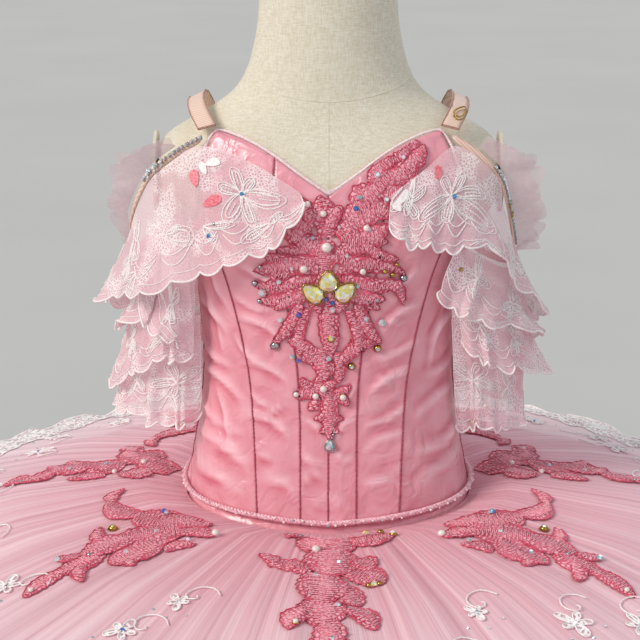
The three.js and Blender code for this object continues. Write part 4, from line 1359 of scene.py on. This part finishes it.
for side in ("right", "left"):
    strip(f"sleeve_band_{side}", elastic, "elastic", 1, f"armhole_band_{side}")
    addFrill(side)
    addChain(side)
print("frills and chains made")

# Skirt.

skirt = {
    # CAD node, angle between its folds, columns, rows, how much it ripples
    "layers": [
        ("skirt_top_layer", 6, 1080, 26, 1.0), ("skirt_net_2", 10, 480, 12, 0.6),
        ("skirt_net_3", 10, 360, 10, 0.6),
        ("skirt_net_4", 10, 360, 10, 0.6), ("skirt_net_5", 10, 360, 10, 0.6),
    ],
    # folds: how many round the skirt, height, growth towards the rim
    "folds": [(26, 4.6, 1.0), (64, 2.6, 0.8), (150, 1.1, 0.1), (260, 0.5, -0.4)],
    "rimLace": (346, 30, 5.0),  # inner radius, scallops, ripples' height
}


def roundNoise(angle, cycles, seed):
    # Smooth noise that closes on itself round the body.
    radius = cycles / math.tau
    return noise.noise(Vector((math.cos(angle) * radius, math.sin(angle) * radius, seed)))


def innerRadii(name, step):
    bm = mergedCopy(name)
    rings = {}
    for vert in bm.verts:
        turn = math.degrees(math.atan2(vert.co.x, -vert.co.y)) % 360
        key = round(turn / step) % round(360 / step)
        rings[key] = min(rings.get(key, 9.0), math.hypot(vert.co.x, vert.co.y))
    bm.free()
    return [rings[k] for k in range(round(360 / step))]


def skirtGrid(name, step, columns, rows, liveliness, seed):
    radii = innerRadii(name, step)
    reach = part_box(name)[1].x - 2 * mm
    bm = mergedCopy(name)
    tree = BVHTree.FromBMesh(bm)
    bm.free()

    def level(angle, radius):
        heights = []
        for aside, weight in ((-step, 1), (0, 2), (step, 1)):
            a = math.radians(angle + aside)
            start = Vector((math.sin(a) * radius, -math.cos(a) * radius, 0.5))
            place = tree.ray_cast(start, Vector((0, 0, -1)))[0]
            if place is not None:
                heights += [place.z] * weight
        return sum(heights) / len(heights)

    coarse = {}
    for k in range(120):
        inner = radii[round(k * 3 / step) % len(radii)]
        for j in range(9):
            radius = inner + (reach - inner) * j / 8
            coarse[k, j] = level(k * 3, min(max(radius, inner + 3 * mm), reach - 8 * mm))
    grid, crests = [], []
    for j in range(rows):
        share = (j / (rows - 1)) ** 1.15
        line, crestLine = [], []
        for i in range(columns):
            turn = 360 * i / columns
            a = math.radians(turn)
            k, t = int(turn / step), turn / step % 1
            inner = radii[k % len(radii)] * (1 - t) + radii[(k + 1) % len(radii)] * t
            radius = inner + (reach - inner) * share
            c, ct = int(turn / 3) % 120, turn / 3 % 1
            r, rt = min(int(share * 8), 7), share * 8 - min(int(share * 8), 7)
            near = coarse[c, r] * (1 - ct) + coarse[(c + 1) % 120, r] * ct
            far = coarse[c, r + 1] * (1 - ct) + coarse[(c + 1) % 120, r + 1] * ct
            z = near * (1 - rt) + far * rt
            crest = 0
            for n, (cycles, height, growth) in enumerate(skirt["folds"]):
                sway = a + 0.05 * share * roundNoise(a, 9, n + 20 + seed)
                grow = 0.25 + 0.75 * share if growth > 0 else 1.0
                grow = grow * (1
                               - growth) + grow * share ** 0.5 * growth if growth > 0 else 1 + growth * share
                crest += height * grow * 1.6 * roundNoise(sway, cycles, n * 3.7 + seed) * min(1.0, share * 14)
            crest *= liveliness
            droop = -3 * mm * max(0.0, share - 0.9) * 10
            line.append(Vector((math.sin(a) * radius, -math.cos(a) * radius, z + crest * mm + droop)))
            crestLine.append(crest / 4)
        grid.append(line)
        crests.append(crestLine)
    return grid, crests


def ringSheet(grid, crests, name, material, replaced=()):
    rows, columns = len(grid), len(grid[0])
    bm = bmesh.new()
    shade = bm.verts.layers.float.new("pleat")
    bmesh.ops.create_grid(bm, x_segments=columns, y_segments=rows - 1, size=1.0)
    for vert in bm.verts:
        i = round((vert.co.x + 1) / 2 * columns) % columns
        j = round((vert.co.y + 1) / 2 * (rows - 1))
        vert.co = grid[j][i]
        vert[shade] = max(-1.0, min(1.0, crests[j][i]))
    bmesh.ops.remove_doubles(bm, verts=bm.verts, dist=0.001 * mm)
    bm.normal_update()
    if sum(f.normal.z for f in bm.faces) < 0:
        bmesh.ops.reverse_faces(bm, faces=bm.faces)
    addPiece(name, bm, material, replaced)


for depth, (name, step, columns, rows, liveliness) in enumerate(skirt["layers"]):
    grid, crests = skirtGrid(name, step, columns, rows, liveliness, depth * 11)
    if depth == 0:
        topGrid = grid
    material = topTulle if depth == 0 else underTulle
    ringSheet(grid, crests, f"tulle_layer_{depth + 1}", material, [name])
print("skirt layers made")


def onSkirt(angle, radius, lift=0.0):
    # Point of the top layer at an angle in degrees and a radius in millimetres, and its normal.
    rows, columns = len(topGrid), len(topGrid[0])
    x = angle % 360 / 360 * columns
    i, s = int(x) % columns, x % 1

    def reachOf(j):
        return topGrid[j][i].lerp(topGrid[j][(i + 1) % columns], s)

    j = 0
    while j < rows - 2 and math.hypot(*reachOf(j + 1)[:2]) < radius * mm:
        j += 1
    near, far = reachOf(j), reachOf(j + 1)
    inner, outer = math.hypot(*near[:2]), math.hypot(*far[:2])
    t = (radius * mm - inner) / (outer - inner)
    place = near.lerp(far, t)
    beside = topGrid[j][(i + 6) % columns] - topGrid[j][i - 6]
    normal = beside.cross(far - near).normalized()
    if normal.z < 0:
        normal.negate()
    return place + normal * lift * mm, normal


def addRimLace():
    inner, scallops, swell = skirt["rimLace"]
    rows, columns = 9, 1080
    reach = math.hypot(*topGrid[-1][0][:2]) / mm
    grid, crests = [], []
    for j in range(rows):
        v = j / (rows - 1)
        line = []
        for i in range(columns):
            angle = 360 * i / columns
            scallop = abs(math.sin(math.pi * scallops * i / columns)) ** 0.6
            outer = reach - 5 + 7 * scallop
            radius = inner + 6 * roundNoise(math.radians(angle), 30, 5) * (1 - v) + (outer - inner) * v
            place = onSkirt(angle, min(radius, reach), 1.2)[0]
            flat = Vector((place.x, place.y, 0)).normalized()
            place = place + flat * max(0.0, radius - reach) * mm
            wave = roundNoise(math.radians(angle), 80, 9) * swell * 1.5 * v ** 1.5 + 2.2 * v
            line.append(place + Vector((0, 0, wave * mm)))
        grid.append(line)
        crests.append([0.0] * columns)
    ringSheet(grid, crests, "rim_lace", galloon)
    bm = bmesh.new()
    cordMesh(bm, [grid[-1]], 0.9 * mm, closed=True, sides=1)
    cordMesh(bm, [[p + Vector((0, 0, 0.5 * mm)) for p in grid[-2]]], 0.4 * mm, closed=True, sides=0)
    motifs = []
    for k in range(scallops):
        angle = 360 * (k + 0.5) / scallops
        for turn in range(5):
            loop = petalLoop(turn * 72 + k * 20, 13, 8, 12)
            motifs.append([ringPlace(grid, angle + a / reach * 57.3, inner + 22 + b, 0.6) for a, b in loop])
    cordMesh(bm, motifs, 0.5 * mm, sides=0)
    addPiece("rim_lace_cord", bm, whiteCord)


def ringPlace(grid, angle, radius, lift):
    rows, columns = len(grid), len(grid[0])
    i = round(angle % 360 / 360 * columns) % columns
    inner, outer = math.hypot(*grid[0][i][:2]), math.hypot(*grid[-1][i][:2])
    v = min(max((radius * mm - inner) / (outer - inner), 0), 0.999) * (rows - 1)
    return grid[int(v)][i].lerp(grid[int(v) + 1][i], v % 1) + Vector((0, 0, lift * mm))


addRimLace()

# White flowers embroidered on the skirt: angle, radius, turn, petal length, stone.
skirtFlowers = [
    (-54, 300, 20, 13, "silver"), (-30, 296, 60, 12, "blue"), (-26, 250, 0, 10, "crystal"),
    (36, 302, 30, 15, "crystal"),
    (44, 326, 70, 14, "blue"), (-66, 330, 10, 14, "crystal"), (-10, 330, 40, 14, "gold"),
    (16, 316, 15, 13, "crystal"),
    (60, 330, 50, 14, "silver"), (24, 262, 20, 9, "crystal"),
]


def skirtFlowerRows():
    strewn = random.Random(31)
    rows = list(skirtFlowers)
    for k in range(21):
        angle = 76 + 208 * k / 20
        rows.append((angle, 322 if k % 2 else 296, strewn.uniform(0, 72), strewn.uniform(12, 15),
                     strewn.choice(("crystal", "blue", "silver"))))
    return rows


def addSkirtFlowers():
    cords, petals = bmesh.new(), bmesh.new()
    stones = newStones()
    for angle, radius, turn, size, stone in skirtFlowerRows():
        def onto(a, b, lift):
            return onSkirt(angle + math.degrees(a / radius), radius + b, lift)[0]

        strokes = []
        for k in range(5):
            length = size * (1.15 if k % 2 else 0.85)
            loop = petalLoop(turn + 72 * k, length, length * 0.62, 14)
            strokes.append([onto(a, b, 1.5) for a, b in loop])
            made = bmesh.ops.create_circle(petals, cap_ends=True, segments=14, radius=1.0)["verts"]
            for vert, (a, b) in zip(made, loop):
                vert.co = onto(a, b, 1.1)
        curl = [(size + 3 * t * math.cos(t), 3 * t * math.sin(t)) for t in (0.4 * n for n in range(16))]
        strokes.append([onto(a, b - size, 1.5) for a, b in curl])
        cordMesh(cords, strokes, 0.65 * mm, sides=0)
        centre, normal = onSkirt(angle, radius, 1.8)
        addStone(stones, stone, centre, normal, 4.4)
        for k in range(3):
            place, normal = onSkirt(angle + (k - 1) * 3, radius + 14 + 5 * (k % 2), 1.0)
            addStone(stones, "crystal", place, normal, 2.2)
    bmesh.ops.triangulate(petals, faces=petals.faces)
    petals.normal_update()
    bmesh.ops.reverse_faces(petals, faces=[f for f in petals.faces if f.normal.z < 0])
    addPiece("skirt_flowers", petals, galloon)
    addPiece("skirt_flower_cords", cords, whiteCord)
    finishStones("skirt_flower_stones", stones)


addSkirtFlowers()
print("rim lace and white flowers made")

# Corded appliques.

applique = {
    "lift": 0.8, "dome": 1.1, "outline": 0.62, "vein": 0.4,
    # lobes on the bodice front: x and up of the base, x and up of the tip, width, bow
    "bodice": [
        (-4, 120, -4, 94, 22, 0), (-12, 128, -31, 140, 13, 2), (-12, 132, -24, 152, 12, -2),
        (-8, 134, -6, 154, 12, 0),
        (0, 130, 10, 146, 12, 2), (-6, 122, -39, 113, 10, 5), (8, 120, 34, 132, 11, -3),
        (10, 116, 46, 118, 12, 3),
        (20, 130, 44, 142, 13, 2), (26, 118, 54, 104, 9, -3),
        (0, 122, -3, 152, 19, 0), (-14, 116, -27, 133, 15, 2), (8, 122, 22, 144, 15, -2),
        (12, 134, 32, 148, 14, 2), (24, 122, 47, 131, 14, -2),
        (-20, 122, -35, 130, 13, 2), (-2, 108, -30, 122, 15, -3), (4, 106, 30, 114, 14, 3),
        (-8, 104, -50, 108, 13, 4), (-8, 98, -58, 94, 14, -4), (-10, 92, -58, 82, 13, 3),
        (-10, 84, -55, 70, 13, 4),
        (-12, 78, -42, 64, 11, -2), (-30, 92, -50, 100, 12, 2),
        (8, 106, 42, 103, 13, -3), (28, 100, 60, 90, 8, 5), (8, 98, 52, 96, 14, 4), (10, 90, 56, 84, 13, -3),
        (10, 84, 44, 72, 13, -3), (40, 88, 58, 66, 9, 6), (12, 78, 40, 64, 11, 2),
        (0, 96, 0, 66, 24, 0), (-14, 84, -6, 62, 13, 0), (14, 84, 6, 62, 13, 0),
        (-22, 70, -43, 36, 11, 3), (-16, 66, -22, 26, 10, -4), (0, 70, 0, 30, 16, 0), (-2, 58, 3, 28, 12, 2),
        (22, 70, 41, 36, 11, -3), (15, 64, 22, 26, 10, 4), (28, 52, 16, 34, 12, 3),
        (-30, 40, -6, 16, 11, 4), (34, 38, 6, 16, 11, -4), (-20, 26, 6, 14, 12, 3), (-6, 34, -2, 6, 17, 0),
        (6, 30, 8, 4, 12, 1),
        (-10, -2, -22, 8, 10, 2), (-10, -4, -26, -8, 10, -2), (-8, -4, -6, 12, 10, 0), (-6, -6, 6, 6, 10, 2),
        (-8, -6, -16, -18, 9, 2),
        (4, -4, 18, 2, 9, -2), (4, -6, 16, -14, 9, 2), (0, 0, 1, -42, 14, 0), (0, -16, -12, -26, 7, 2),
        (1, -18, 12, -26, 7, -2),
        (0, -28, -7, -36, 6, 1), (1, -28, 8, -36, 6, -1),
    ],
    # lobes on the skirt: distance out and aside of the base, then of the tip, width, bow
    "front": [
        (148, -6, 178, -46, 34, 4), (146, 4, 172, -20, 30, -3), (162, 4, 206, -24, 38, 3),
        (186, 6, 234, 5, 30, 4), (198, -14, 242, -20, 30, -3),
        (226, -14, 270, -14, 24, 3), (262, -13, 302, -9, 17, -3), (172, -42, 186, -88, 20, 7),
        (184, -82, 170, -97, 15, 6),
        (166, 4, 155, 33, 18, 4), (194, 22, 172, 32, 15, 4), (150, -14, 140, 16, 22, -3),
        (218, -26, 206, -50, 13, 3),
        (240, -22, 256, -36, 12, 3), (250, -6, 262, 10, 12, -3), (212, 8, 226, 24, 14, -3),
    ],
    "side": [
        (132, 4, 164, -12, 36, 3), (148, -14, 186, -20, 36, -3), (150, 14, 176, 24, 26, 3),
        (168, -18, 184, -52, 22, 6), (180, -48, 198, -58, 15, 4),
        (174, 0, 212, -8, 34, 3), (188, 20, 220, 26, 19, -3), (204, -6, 244, -4, 28, 2),
        (236, 2, 262, 20, 18, 3), (252, 14, 278, 18, 15, -3),
        (216, -12, 232, -26, 14, 3), (232, 6, 246, -12, 13, -2),
    ],
    "centre": [
        (124, -6, 152, -18, 34, 3), (120, 6, 150, 14, 34, -3), (134, 18, 128, 54, 20, -5),
        (120, -22, 114, -34, 16, 3), (148, 0, 192, 4, 42, 0),
        (186, -14, 176, -46, 19, -6), (178, -42, 164, -54, 14, -5), (184, 14, 207, 42, 23, 4),
        (166, 18, 184, 34, 20, 3), (188, -6, 236, -8, 38, 2),
        (206, 10, 234, 22, 26, -3), (228, -6, 264, -4, 36, 0), (240, 14, 264, 34, 19, 4),
        (244, -16, 270, -30, 18, -4), (258, 0, 290, 0, 24, 0),
        (278, 4, 296, 14, 13, 2), (276, -4, 294, -14, 13, -2),
    ],
    # spray along the neckline, on the wearer's left
    "neckline": [
        (18, 146, 36, 158, 18, 2), (24, 148, 42, 168, 17, -3), (34, 154, 56, 170, 19, 3),
        (32, 162, 52, 180, 16, 3), (46, 164, 68, 182, 18, -3),
        (52, 176, 70, 191, 15, 3), (20, 138, 42, 144, 15, 2), (36, 148, 52, 140, 13, -3),
        (42, 150, 60, 154, 16, 3), (58, 172, 74, 188, 14, -2),
    ],
    # where the skirt's sprays lie: kind, angle, side
    "sprays": [("centre", 0, 1), ("front", -47, 1), ("front", 47, -1), ("side", -99, 1), ("side", 99, -1),
               ("front", -150, -1), ("front", 150, 1)],
}


def addLobe(bm, cords, veins, surface, base, tip, width, bow, index):
    # One lobe of corded lace, domed, with a cord round it and cord laid in wriggles across it.
    rows, columns = 11, 6
    run = (tip[0] - base[0], tip[1] - base[1])
    length = math.hypot(*run)
    way, side = (run[0] / length, run[1] / length), (-run[1] / length, run[0] / length)

    def place(u, v, lift):
        half = width / 2 * math.sin(math.pi * min(1.0, 0.12 + 0.88 * u)) ** 0.62 * (1
                + 0.10 * math.sin(length * u * 0.9 + index))
        aside = half * v + bow * math.sin(math.pi * u)
        a = base[0] + way[0] * length * u + side[0] * aside
        b = base[1] + way[1] * length * u + side[1] * aside
        return surface(a, b, lift)[0]

    stack = applique["lift"] + 0.22 * (index % 5)
    for vert in bmesh.ops.create_grid(bm, x_segments=columns, y_segments=rows, size=1.0)["verts"]:
        u, v = (vert.co.y + 1) / 2, vert.co.x
        rise = applique["dome"] * (1 - v * v) * math.sin(math.pi * min(1.0, 0.1 + 0.86 * u)) ** 0.5
        vert.co = place(u, v, stack + rise)
    steps = [k / 14 for k in range(15)]
    cords.append([place(u, 1, stack + 0.2) for u in steps]
                 + [place(u, -1, stack + 0.2) for u in reversed(steps)])
    waves = max(3, int(length / 3.4))
    wriggle = []
    for k in range(waves * 5 + 1):
        u = 0.06 + 0.88 * k / (waves * 5)
        v = 0.66 * math.sin(math.tau * waves * (k / (waves * 5)) + index)
        wriggle.append(place(u, v, stack + applique["dome"] * (1 - v * v) + 0.25))
    veins.append(wriggle)


def addApplique(name, rows, surface, replaced):
    ground, cordPaths, veinPaths = bmesh.new(), [], []
    for index, (a, b, c, d, width, bow) in enumerate(rows):
        addLobe(ground, cordPaths, veinPaths, surface, (a, b), (c, d), width, bow, index)
    ground.normal_update()
    wrong = [f for f in ground.faces if f.normal.dot(surfaceOut(f.calc_center_median())) < 0]
    bmesh.ops.reverse_faces(ground, faces=wrong)
    addPiece(name, ground, corded, replaced)
    work = bmesh.new()
    cordMesh(work, cordPaths, applique["outline"] * mm, sides=0)
    cordMesh(work, veinPaths, applique["vein"] * mm, sides=0, materialIndex=1)
    addPiece(name + "_cords", work, [crimsonCord, roseCord])


def surfaceOut(place):
    # Roughly outward: up on the skirt, away from the body on the bodice.
    if place.z < waist - 90 * mm:
        return Vector((0, 0, 1))
    return Vector((place.x * 0.5, -1, 0.05))


addApplique("corded_applique_bodice", applique["bodice"], onBodice, ["applique_bodice"])
addApplique("corded_applique_neckline", applique["neckline"], onBodice, ["applique_neckline"])
sprays = []
for number, (kind, angle, side) in enumerate(applique["sprays"]):
    def surface(out, aside, lift, angle=angle, side=side):
        return onSkirt(angle + side * math.degrees(aside / out), out, lift)

    sprays.append((kind, surface))
    name = min(
        (n for n in nodes if n.startswith("applique_skirt_")),
        key=lambda n: (sum((Vector(c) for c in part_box(n)), Vector()) / 2 - surface(200, 0, 0)[0]).length,
    )
    addApplique(f"corded_spray_{number + 1}", applique[kind], surface, [name])
print("appliques made")

# Stones.

# Stones of the bodice applique: kind, x, up, size.
bodiceStones = [
    ("pearl", -16, 147, 5.0), ("pearl", -4, 140, 5.4), ("blue", 21, 144, 4.6), ("pearl", -1.5, 115, 8.2),
    ("pearl", -19, 98, 6.4),
    ("silver", -52, 98, 4.6), ("silver", -57, 84, 5.2), ("crystal", -51, 77, 7.0), ("silver", -53, 70, 4.6),
    ("crystal", -34, 76, 4.4),
    ("crystal", -38, 87, 4.4), ("crystal", -37, 56, 5.0), ("silver", -42, 34, 8.4), ("blue", -23, 61, 4.6),
    ("crystal", 3, 65, 5.6),
    ("gold", 2, 41, 7.4), ("yellow", 2, 41.5, 5.4), ("crystal", 41, 53, 6.8), ("crystal", 29, 57, 4.6),
    ("gold", 38, 32, 7.0), ("crystal", 38, 32, 5.0),
    ("gold", 18, 18, 6.6), ("crystal", 18, 18, 4.8), ("crystal", -28, 26, 4.6), ("blue", -23, 23, 4.0),
    ("crystal", 0, 25, 4.8),
    ("silver", -25, -5, 6.6), ("pearl", -25, -5, 4.2), ("pearl", -4, 0, 5.8), ("pearl", -10, -6, 5.2),
    ("gold", 11, -7, 7.8), ("pearl", 11, -7, 5.4),
    ("gold", 43, 95, 4.2), ("gold", 49, 92, 5.0), ("silver", 58, 88, 6.2), ("pearl", 26, 96, 5.0),
    ("gold", 52, 100, 4.0),
    ("silver", 37, 72, 4.6), ("pearl", 29, 129, 5.4), ("crystal", 44, 150, 4.8), ("crystal", 31, 128, 4.0),
    ("crystal", -28, 98, 4.0), ("crystal", 14, 108, 3.4), ("crystal", -12, 122, 3.4),
    ("crystal", 8, 130, 3.2), ("crystal", 22, 84, 3.6),
    ("blue", -9, 72, 4.6), ("blue", -2, 74, 4.4), ("blue", 3, 71, 4.0), ("crystal", 37, 168, 5.4),
    ("crystal", 24, 152, 3.8), ("crystal", 57, 180, 4.0),
]
# Three large petal stones at its middle: x, up, length, width, turn.
petalStones = [(-12, 79, 18, 13, 2.5), (0, 89, 16, 14, 1.57), (13, 80, 18, 13, 0.75)]
# Stones of the skirt's sprays: kind, distance out, aside, size.
sprayStones = {
    "front": [
        ("blue", 154, -30, 5.6), ("crystal", 154, -26, 4.4), ("gold", 199, -40, 9.0),
        ("yellow", 199, -40, 5.4), ("pearl", 152, 31, 6.4),
        ("crystal", 256, -32, 6.0), ("pearl", 294, -10, 4.4), ("crystal", 214, 2, 5.0),
        ("crystal", 178, -6, 4.4), ("silver", 236, -16, 5.0), ("crystal", 172, 24, 4.0),
    ],
    "side": [("pearl", 158, 0, 5.0), ("crystal", 192, -4, 5.0), ("crystal", 222, 2, 4.4),
             ("silver", 262, 17, 4.6), ("crystal", 186, -46, 4.2), ("pearl", 180, 18, 4.6)],
    "centre": [
        ("yellow", 114, 30, 6.2), ("gold", 114, 42, 6.6), ("gold", 131, 52, 7.6), ("pearl", 131, 52, 4.8),
        ("pearl", 150, -10, 7.0), ("silver", 118, -22, 5.2),
        ("gold", 204, 30, 6.4), ("yellow", 205, 34, 6.0), ("gold", 206, 38, 5.6), ("crystal", 191, -10, 5.8),
        ("crystal", 170, 8, 4.6), ("gold", 263, -24, 6.6), ("pearl", 263, -24, 4.4),
        ("crystal", 236, 6, 5.0), ("crystal", 278, 2, 5.0), ("silver", 222, -14, 4.6),
    ],
}


def addAllStones():
    stones = newStones()
    for kind, x, up, size in bodiceStones:
        place, normal = onBodice(x, up, 2.6 if kind in ("gold", "silver") else 3.2)
        addStone(stones, kind, place, normal, size)
    for x, up, length, width, turn in petalStones:
        place, normal = onBodice(x, up, 4.2)
        addOvalStone(stones, "yellow", place, normal, length, width, turn)
        addRim(stones["gold"], onBodice(x, up, 3.2)[0], normal, length * 1.08, width * 1.1, turn, 0.6)
    place, normal = onBodice(1, -46, 2.2)
    addOvalStone(stones, "crystal", place, normal, 8.5, 6.5, 1.57)
    addRim(stones["silver"], place, normal, 9.6, 7.6, 1.57, 0.6)
    for k in range(3):
        place, normal = onBodice(3 + 1.2 * k, -40 + 2.0 * k, 2.4)
        addStone(stones, "silver", place, normal, 2.4)
    for kind, surface in sprays:
        for stone, out, aside, size in sprayStones[kind]:
            place, normal = surface(out, aside, 2.4 if stone in ("gold", "silver") else 3.1)
            addStone(stones, stone, place, normal, size)
    finishStones("stones", stones)


addAllStones()
print("stones set")

# What each cloth was cut to.

# Flat width and length in millimetres, flat area in square centimetres, how it is held, what it rests on.
cuts = {
    "satin_centre_front": (42, 275, 82, "stretched", "form_torso_linen"),
    "satin_mid_front": (62, 305, 139, "stretched", "form_torso_linen"),
    "satin_side_front": (88, 290, 195, "stretched", "form_torso_linen"),
    "satin_side_back": (98, 262, 197, "stretched", "form_torso_linen"),
    "satin_back": (64, 262, 131, "stretched", "form_torso_linen"),
    "strap": (12.5, 250, 31, "stretched", "form_torso_linen"),
    "lace_flounce_1": (440, 78, 215, "gathered", "armhole_band"),
    "lace_flounce_2": (330, 72, 150, "gathered", "armhole_band"),
    "lace_flounce_3": (290, 76, 138, "gathered", "armhole_band"),
    "lace_flounce_4": (285, 78, 145, "gathered", "armhole_band"),
    "tulle_frill_1": (235, 20, 41, "gathered", "armhole_band"),
    "tulle_frill_2": (235, 17, 37, "gathered", "armhole_band"),
}
singleCuts = {
    "basque_satin": (700, 68, 459, "stretched", "form_torso_linen"),
    "back_placket_satin": (14, 235, 31, "laid", "satin_back_right"),
    "tulle_layer_1": (2500, 300, 4700, "gathered", "tulle_layer_2"),
    "tulle_layer_2": (2450, 292, 4400, "gathered", "tulle_layer_3"),
    "tulle_layer_3": (2320, 272, 3900, "gathered", "tulle_layer_4"),
    "tulle_layer_4": (2100, 238, 3150, "gathered", "tulle_layer_5"),
    "tulle_layer_5": (1840, 196, 2350, "gathered", "basque_satin"),
    "rim_lace": (2500, 52, 1200, "laid", "tulle_layer_1"),
    "corded_applique_bodice": (134, 208, 278, "laid", "satin_centre_front_right"),
    "corded_applique_neckline": (64, 64, 32, "laid", "satin_mid_front_left"),
}
for number, (kind, _, _) in enumerate(applique["sprays"]):
    singleCuts[f"corded_spray_{number + 1}"] = {
        "front": (130, 170, 95, "laid", "tulle_layer_1"),
        "side": (86, 150, 68, "laid", "tulle_layer_1"),
        "centre": (108, 184, 98, "laid", "tulle_layer_1"),
    }[kind]


def declare(cut, side=""):
    width, length, area, held, under = cut
    if under == "armhole_band":
        under += side


for start, cut in cuts.items():
    for side in ("_right", "_left"):
        declare(cut, side)
for piece, cut in singleCuts.items():
    declare(cut)
